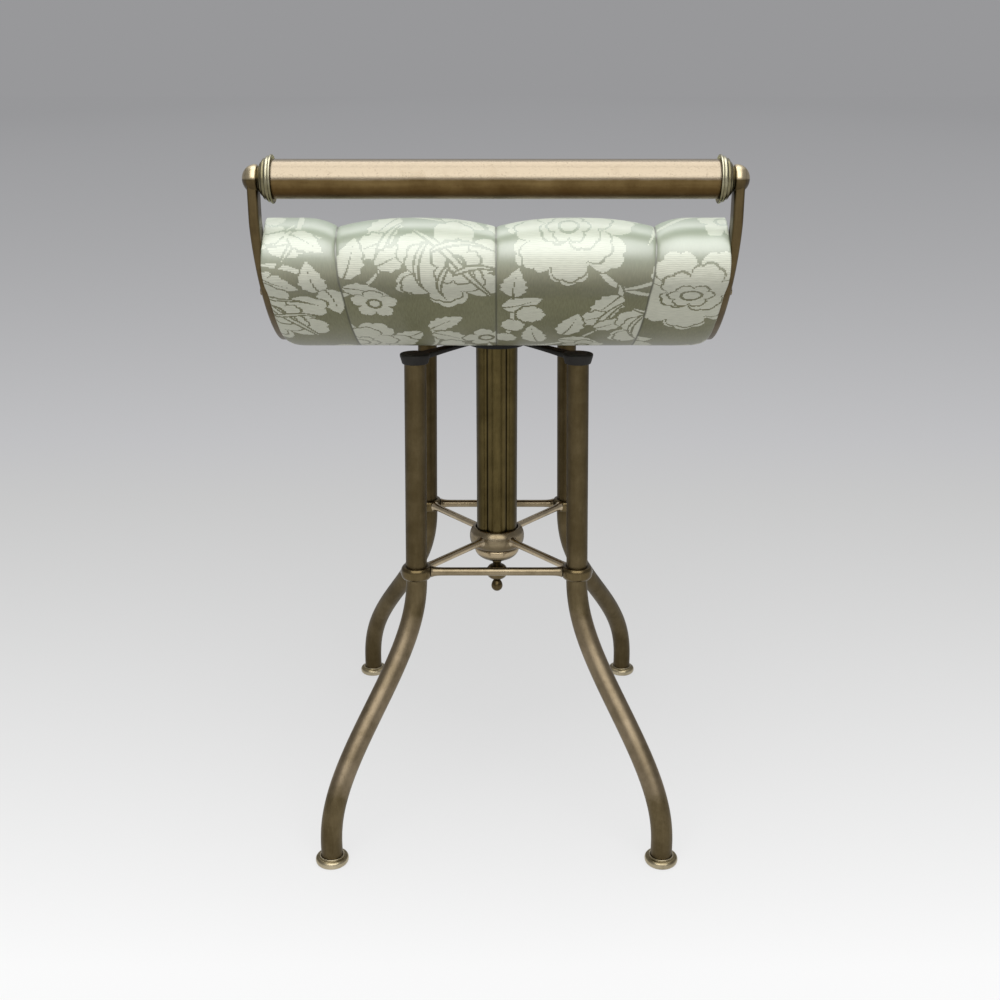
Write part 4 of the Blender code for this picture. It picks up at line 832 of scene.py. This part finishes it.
# the outline is carried across the seat; each point moves in by the panel's pillow shape times the sewn depth there
depth = sewnShape[:, None] * outline[:, 2] + sideShape[:, None] * pad["sideDraw"] * (1 - crownEnd)
depth = depth + np.isin(stations, seams)[:, None] * np.minimum(outline[:, 2], 0.0009)
pull = np.interp(np.abs(stations), [0, pad["seam"], pad["half"]], [0, pad["lowSeam"], 0])
widen = softStep((np.abs(stations) - pad["seam"]) / (pad["half"] - pad["seam"]))
x = np.sign(stations)[:, None] * (np.abs(stations)[:, None] - pull[:, None] * outline[:, 3] + widen[:, None] * pad["bulge"] * onBack)
wrap = np.stack([x, outline[:, 0] + inwardY * depth, outline[:, 1] + inwardZ * depth], -1)
ripple = 0.0005 * np.sin(stations * 210 + 1.3) * np.sin(stations * 67)
wrap[..., 2] += ripple[:, None] * onBack * 0.6

# the cloth's own coordinates: across the seat, and along the line from the rim's crown, broken under the nose
hidden = int(m * 0.12)


def clothLine(at):
    # the length along the cloth at a point of the outline, for the face that starts at each number
    under = np.minimum(at, m)
    front = (innerLength[-1] - innerLength)[::-1][np.clip(at - m, 0, m)]
    behind = np.where(number < m, (outerLength - outerLength[-1])[under], front)
    return np.where(number < hidden, (innerLength[-1] + outerLength)[under], behind)


startV, endV = clothLine(number), clothLine(number + 1)
shift = np.asarray(panelShift)[panelOf]
uvRows = []
for station, v in ((0, startV), (0, endV), (1, endV), (1, startV)):
    across = (stations[station: len(stations) - 1 + station] + shift[:, 0])[:, None]
    uvRows.append(np.stack(np.broadcast_arrays(across, v[None, :] + shift[:, 1][:, None]), -1))
uvs = [np.stack(uvRows, 2).reshape(-1, 2)]
points = [wrap.reshape(-1, 3)]
quads = [gridQuads(len(stations), 2 * m, True, False, 0)]
count = len(points[0])
share = np.linspace(0, 1, pad["capColumns"] + 2)[None, :, None]
for row, sx in ((0, -1), (-1, 1)):  # flat sides between the lower and the upper half of the outline
    low, high = wrap[row, : m + 1], wrap[row, -number[: m + 1]]
    cap = low[:, None] * (1 - share) + high[:, None] * share
    cap[:, 1:-1, 0] = sx * pad["beside"]
    faces = gridQuads(*cap.shape[:2], False, False, count)
    points.append(cap.reshape(-1, 3))
    quads.append(faces)
    uvs.append(points[-1][(faces - count).ravel()][:, 1:] + (0.02, 0.09))
    count += len(points[-1])
capPoints = count - len(points[0])
free = softStep((seamGap - 0.0012) / 0.012) * softStep((pad["half"] - np.abs(stations)) / 0.014)
mesh = gridMesh("seat_cushion_damask", points, quads, {
    "limit": join([(free[:, None] * outline[:, 4]).ravel(), np.zeros(capPoints)]),
    "seam": join([np.broadcast_to(seamGap[:, None], wrap.shape[:2]).ravel(), np.full(capPoints, 0.02)])})
mesh.uv_layers.new(name="UVMap").data.foreach_set("uv", join(uvs).astype(np.float32).ravel())
cleanMesh(mesh)
mesh.materials.append(damaskCloth)
cushion = addObject("seat_cushion_damask", mesh)

filling = {"quality": 6, "mass": 0.3, "tension_stiffness": 15, "compression_stiffness": 15, "bending_stiffness": 0.6,
           "use_pressure": True, "uniform_pressure_force": 4.0, "vertex_group_mass": "pinned"}


def plump(piece):
    # air pressure swells the panels between their pinned seams; no point moves past its own limit
    rest = np.zeros((len(piece.data.vertices), 3), np.float32)
    piece.data.vertices.foreach_get("co", rest.ravel())
    limit = np.zeros(len(rest), np.float32)
    piece.data.attributes["limit"].data.foreach_get("value", limit)
    hold = np.round(np.clip(1 - limit / 0.002, 0, 1) * 10)
    pinned = piece.vertex_groups.new(name="pinned")
    for level in range(1, 11):
        pinned.add(np.flatnonzero(hold == level).tolist(), level / 10, "REPLACE")
    cloth = piece.modifiers.new("filling", "CLOTH")
    for key, value in filling.items():
        setattr(cloth.settings, key, value)
    cloth.settings.effector_weights.gravity = 0
    cloth.collision_settings.use_collision = cloth.collision_settings.use_self_collision = False
    cloth.point_cache.frame_start, cloth.point_cache.frame_end = 1, 20
    for number in range(1, 21):
        scene.frame_set(number)
    swollen = np.zeros_like(rest)
    piece.evaluated_get(bpy.context.evaluated_depsgraph_get()).data.vertices.foreach_get("co", swollen.ravel())
    move = swollen - rest
    length = np.linalg.norm(move, axis=1)
    move *= np.minimum(1, limit / np.maximum(length, 1e-9))[:, None]
    piece.modifiers.remove(cloth)
    piece.vertex_groups.clear()
    scene.frame_set(1)
    piece.data.vertices.foreach_set("co", (rest + move).ravel())
    piece.data.update()
    print("cushion swollen, most %.1f mm, kept %.1f mm" % (length.max() * 1000, np.linalg.norm(move, axis=1).max() * 1000))


plump(cushion)
fine = cushion.modifiers.new("fine", "SUBSURF")
fine.levels = fine.render_levels = 1
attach(cushion, "seat")
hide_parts("seat_cushion")

board = {"half": 0.163, "back": -0.078, "front": 0.184, "thick": 0.0098, "round": 0.0016, "inset": 0.13, "power": 14}


def boardGrid():
    # a plate whose plan is |x|^n + |y|^n = 1 with a rolled edge: rows run middle, underside, edge, top, middle
    t = fullTurn(160)
    halfY, middleY = (board["front"] - board["back"]) / 2, (board["front"] + board["back"]) / 2
    plan = np.stack([boxy(np.cos(t), 2 / board["power"]) * board["half"], boxy(np.sin(t), 2 / board["power"]) * halfY], 1)
    roll = np.linspace(-np.pi / 2, np.pi / 2, 9)
    scale = join([[0, 0.5, 0.9], 1 - board["round"] / board["inset"] * (1 - np.cos(roll)), [0.9, 0.5, 0]])
    edge = board["round"] * (1 + np.sin(roll)) + np.where(roll > 0, board["thick"] - 2 * board["round"], 0)
    z = join([[0, 0, 0], edge, [board["thick"]] * 3])
    flat = scale[:, None, None] * plan + (0, middleY)
    return join([flat, np.broadcast_to(seat["bottom"] + z[:, None, None], flat.shape[:2] + (1,))], -1)


makePiece("seat_board", "plate", [(boardGrid(), False, 0.2)], "beech", "seat")
print("seat done")

# pieces that keep their own shape and get a finish
carried = {
    "steel": ["finial_stud", "stud_nut", "thrust_washer", "screw_spindle", "guide_washer", "guide_nut", "rail_rod",
              *(f"nut_screw_{n}" for n in (1, 2, 3)), *(f"plate_screw_{n}" for n in (1, 2, 3, 4))],
    "blackIron": ["seat_plate"], "agedBrass": ["spindle_nut"], "beech": ["column_plug", "spindle_guide"]}
for finish, names in carried.items():
    for name in names:
        nodes[name].data.materials.clear()
        nodes[name].data.materials.append(finishes[finish])

# floor, light and camera

view = {"lens": 45, "sensor": 36, "place": (0.003, -1.153, 0.656), "down": math.radians(18.2)}
backdrop = {"far": 160.0, "near": 248.0, "lift": 4.0, "stops": 16, "nearSlope": 0.8, "glow": 0.84, "shade": 0.16,
            "blendSpan": (3.5, 15.0), "paper": (0.55, 0.55, 0.55, 1), "size": 120}


def seenOrLit(tree, seen, lit):
    # camera, glossy and transmission rays see the plain backdrop colour; other rays see the lit surface
    path = wires(put(tree, "LightPath"))
    direct = path["Is Camera Ray"].calc("MAXIMUM", path["Is Glossy Ray"].calc("MAXIMUM", path["Is Transmission Ray"]))
    return wire(tree, "MixShader", {0: direct, 1: lit, 2: seen})


floorMaterial, tree, shader = newMaterial("floorPaper")
tree.nodes.remove(shader)
x, y, _ = objectPlace(tree).split()
ahead = (y - view["place"][1]).calc("MAXIMUM", 0.3)
slope = wire(tree, "Math", {0: view["place"][2], 1: ahead}, operation="DIVIDE")
ramp = put(tree, "ValToRGB", {0: slope})
# the paper pales evenly down the picture: far + (near - far) * s + lift * s * sin(pi s), with s along the camera's view of the floor
share = np.linspace(0, 1, backdrop["stops"])
paleness = backdrop["far"] + (backdrop["near"] - backdrop["far"]) * share + backdrop["lift"] * share * np.sin(np.pi * share)
horizon = math.tan(view["down"])
lowest = math.tan(math.atan(backdrop["nearSlope"]) - view["down"])
places = np.tan(np.arctan((lowest + horizon) * share - horizon) + view["down"])
while len(ramp.color_ramp.elements) < backdrop["stops"]:
    ramp.color_ramp.elements.new(0.5)
for element, position, grey in zip(ramp.color_ramp.elements, places, paleness):
    element.position = float(position)
    element.color = linear(grey, grey, grey + (2 if grey < 200 else 0))
aside = abs(x).calc("MAXIMUM", y * -1.0)
distant = aside.ranged(*backdrop["blendSpan"], way="SMOOTHSTEP")
shown = distant.blend(Wire(ramp.outputs[0]), linear(160, 160, 162))  # from any side the paper fades into the backdrop
shade = wire(tree, "Mix", {0: 1.0, 6: shown, 7: (backdrop["shade"],) * 3 + (1,)}, 2, data_type="RGBA", blend_type="MULTIPLY")
glow = wire(tree, "Emission", {"Color": shown, "Strength": backdrop["glow"]})
seen = wire(tree, "AddShader", {0: wire(tree, "BsdfDiffuse", {"Color": shade}), 1: glow})
lit = wire(tree, "BsdfDiffuse", {"Color": backdrop["paper"]})
feed(tree.nodes["Material Output"], {0: seenOrLit(tree, seen, lit)})
far = backdrop["size"]
mesh = gridMesh("floor", [np.asarray([(-far, -far, 0), (far, -far, 0), (far, far, 0), (-far, far, 0)])], [np.asarray([(0, 1, 2, 3)])], {})
mesh.materials.append(floorMaterial)
floor = addObject("floor", mesh)
floor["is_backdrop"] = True

world = bpy.data.worlds.new("studio")
scene.world = world
world.use_nodes = True
tree = world.node_tree
soft = tree.nodes["Background"]
feed(soft, {0: (0.80, 0.82, 0.84, 1), 1: 0.35})
plain = wire(tree, "Background", {"Color": linear(152, 152, 154), "Strength": 1.0})
feed(tree.nodes["World Output"], {0: seenOrLit(tree, plain, Wire(soft.outputs[0]))})

# each lamp: place, target, width and depth, power
lamps = {"key": ((0, -1.311, 1.731), (0, -0.2, 0.58), (2.4, 2.0), 36.0), "zenith": ((0, 0.08, 1.95), (0, 0.08, 0), (1.8, 1.05), 14.3),
         "behind": ((0, 1.2, 2.05), (0, 0.6, 0), (3.2, 1.6), 8.0), "fill": ((0, -2.3, 1.0), (0, 0, 0.45), (4.0, 1.5), 5.7)}
for name, (spot, target, dimensions, power) in lamps.items():
    lamp = bpy.data.lights.new(name, "AREA")
    lamp.shape = "RECTANGLE"
    lamp.size, lamp.size_y = dimensions
    lamp.energy = power
    holder = addObject(name, lamp)
    holder.location = np.subtract(target, spot)
    holder.rotation_euler = holder.location.to_track_quat("-Z", "Y").to_euler()
    holder.location = spot

camera = bpy.data.cameras.new("camera")
camera.lens = view["lens"]
camera.sensor_width = view["sensor"]
scene.camera = addObject("camera", camera)
scene.camera.location = view["place"]
scene.camera.rotation_euler = (math.pi / 2 - view["down"], 0, 0)
print("floor, light and camera done")

low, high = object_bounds()
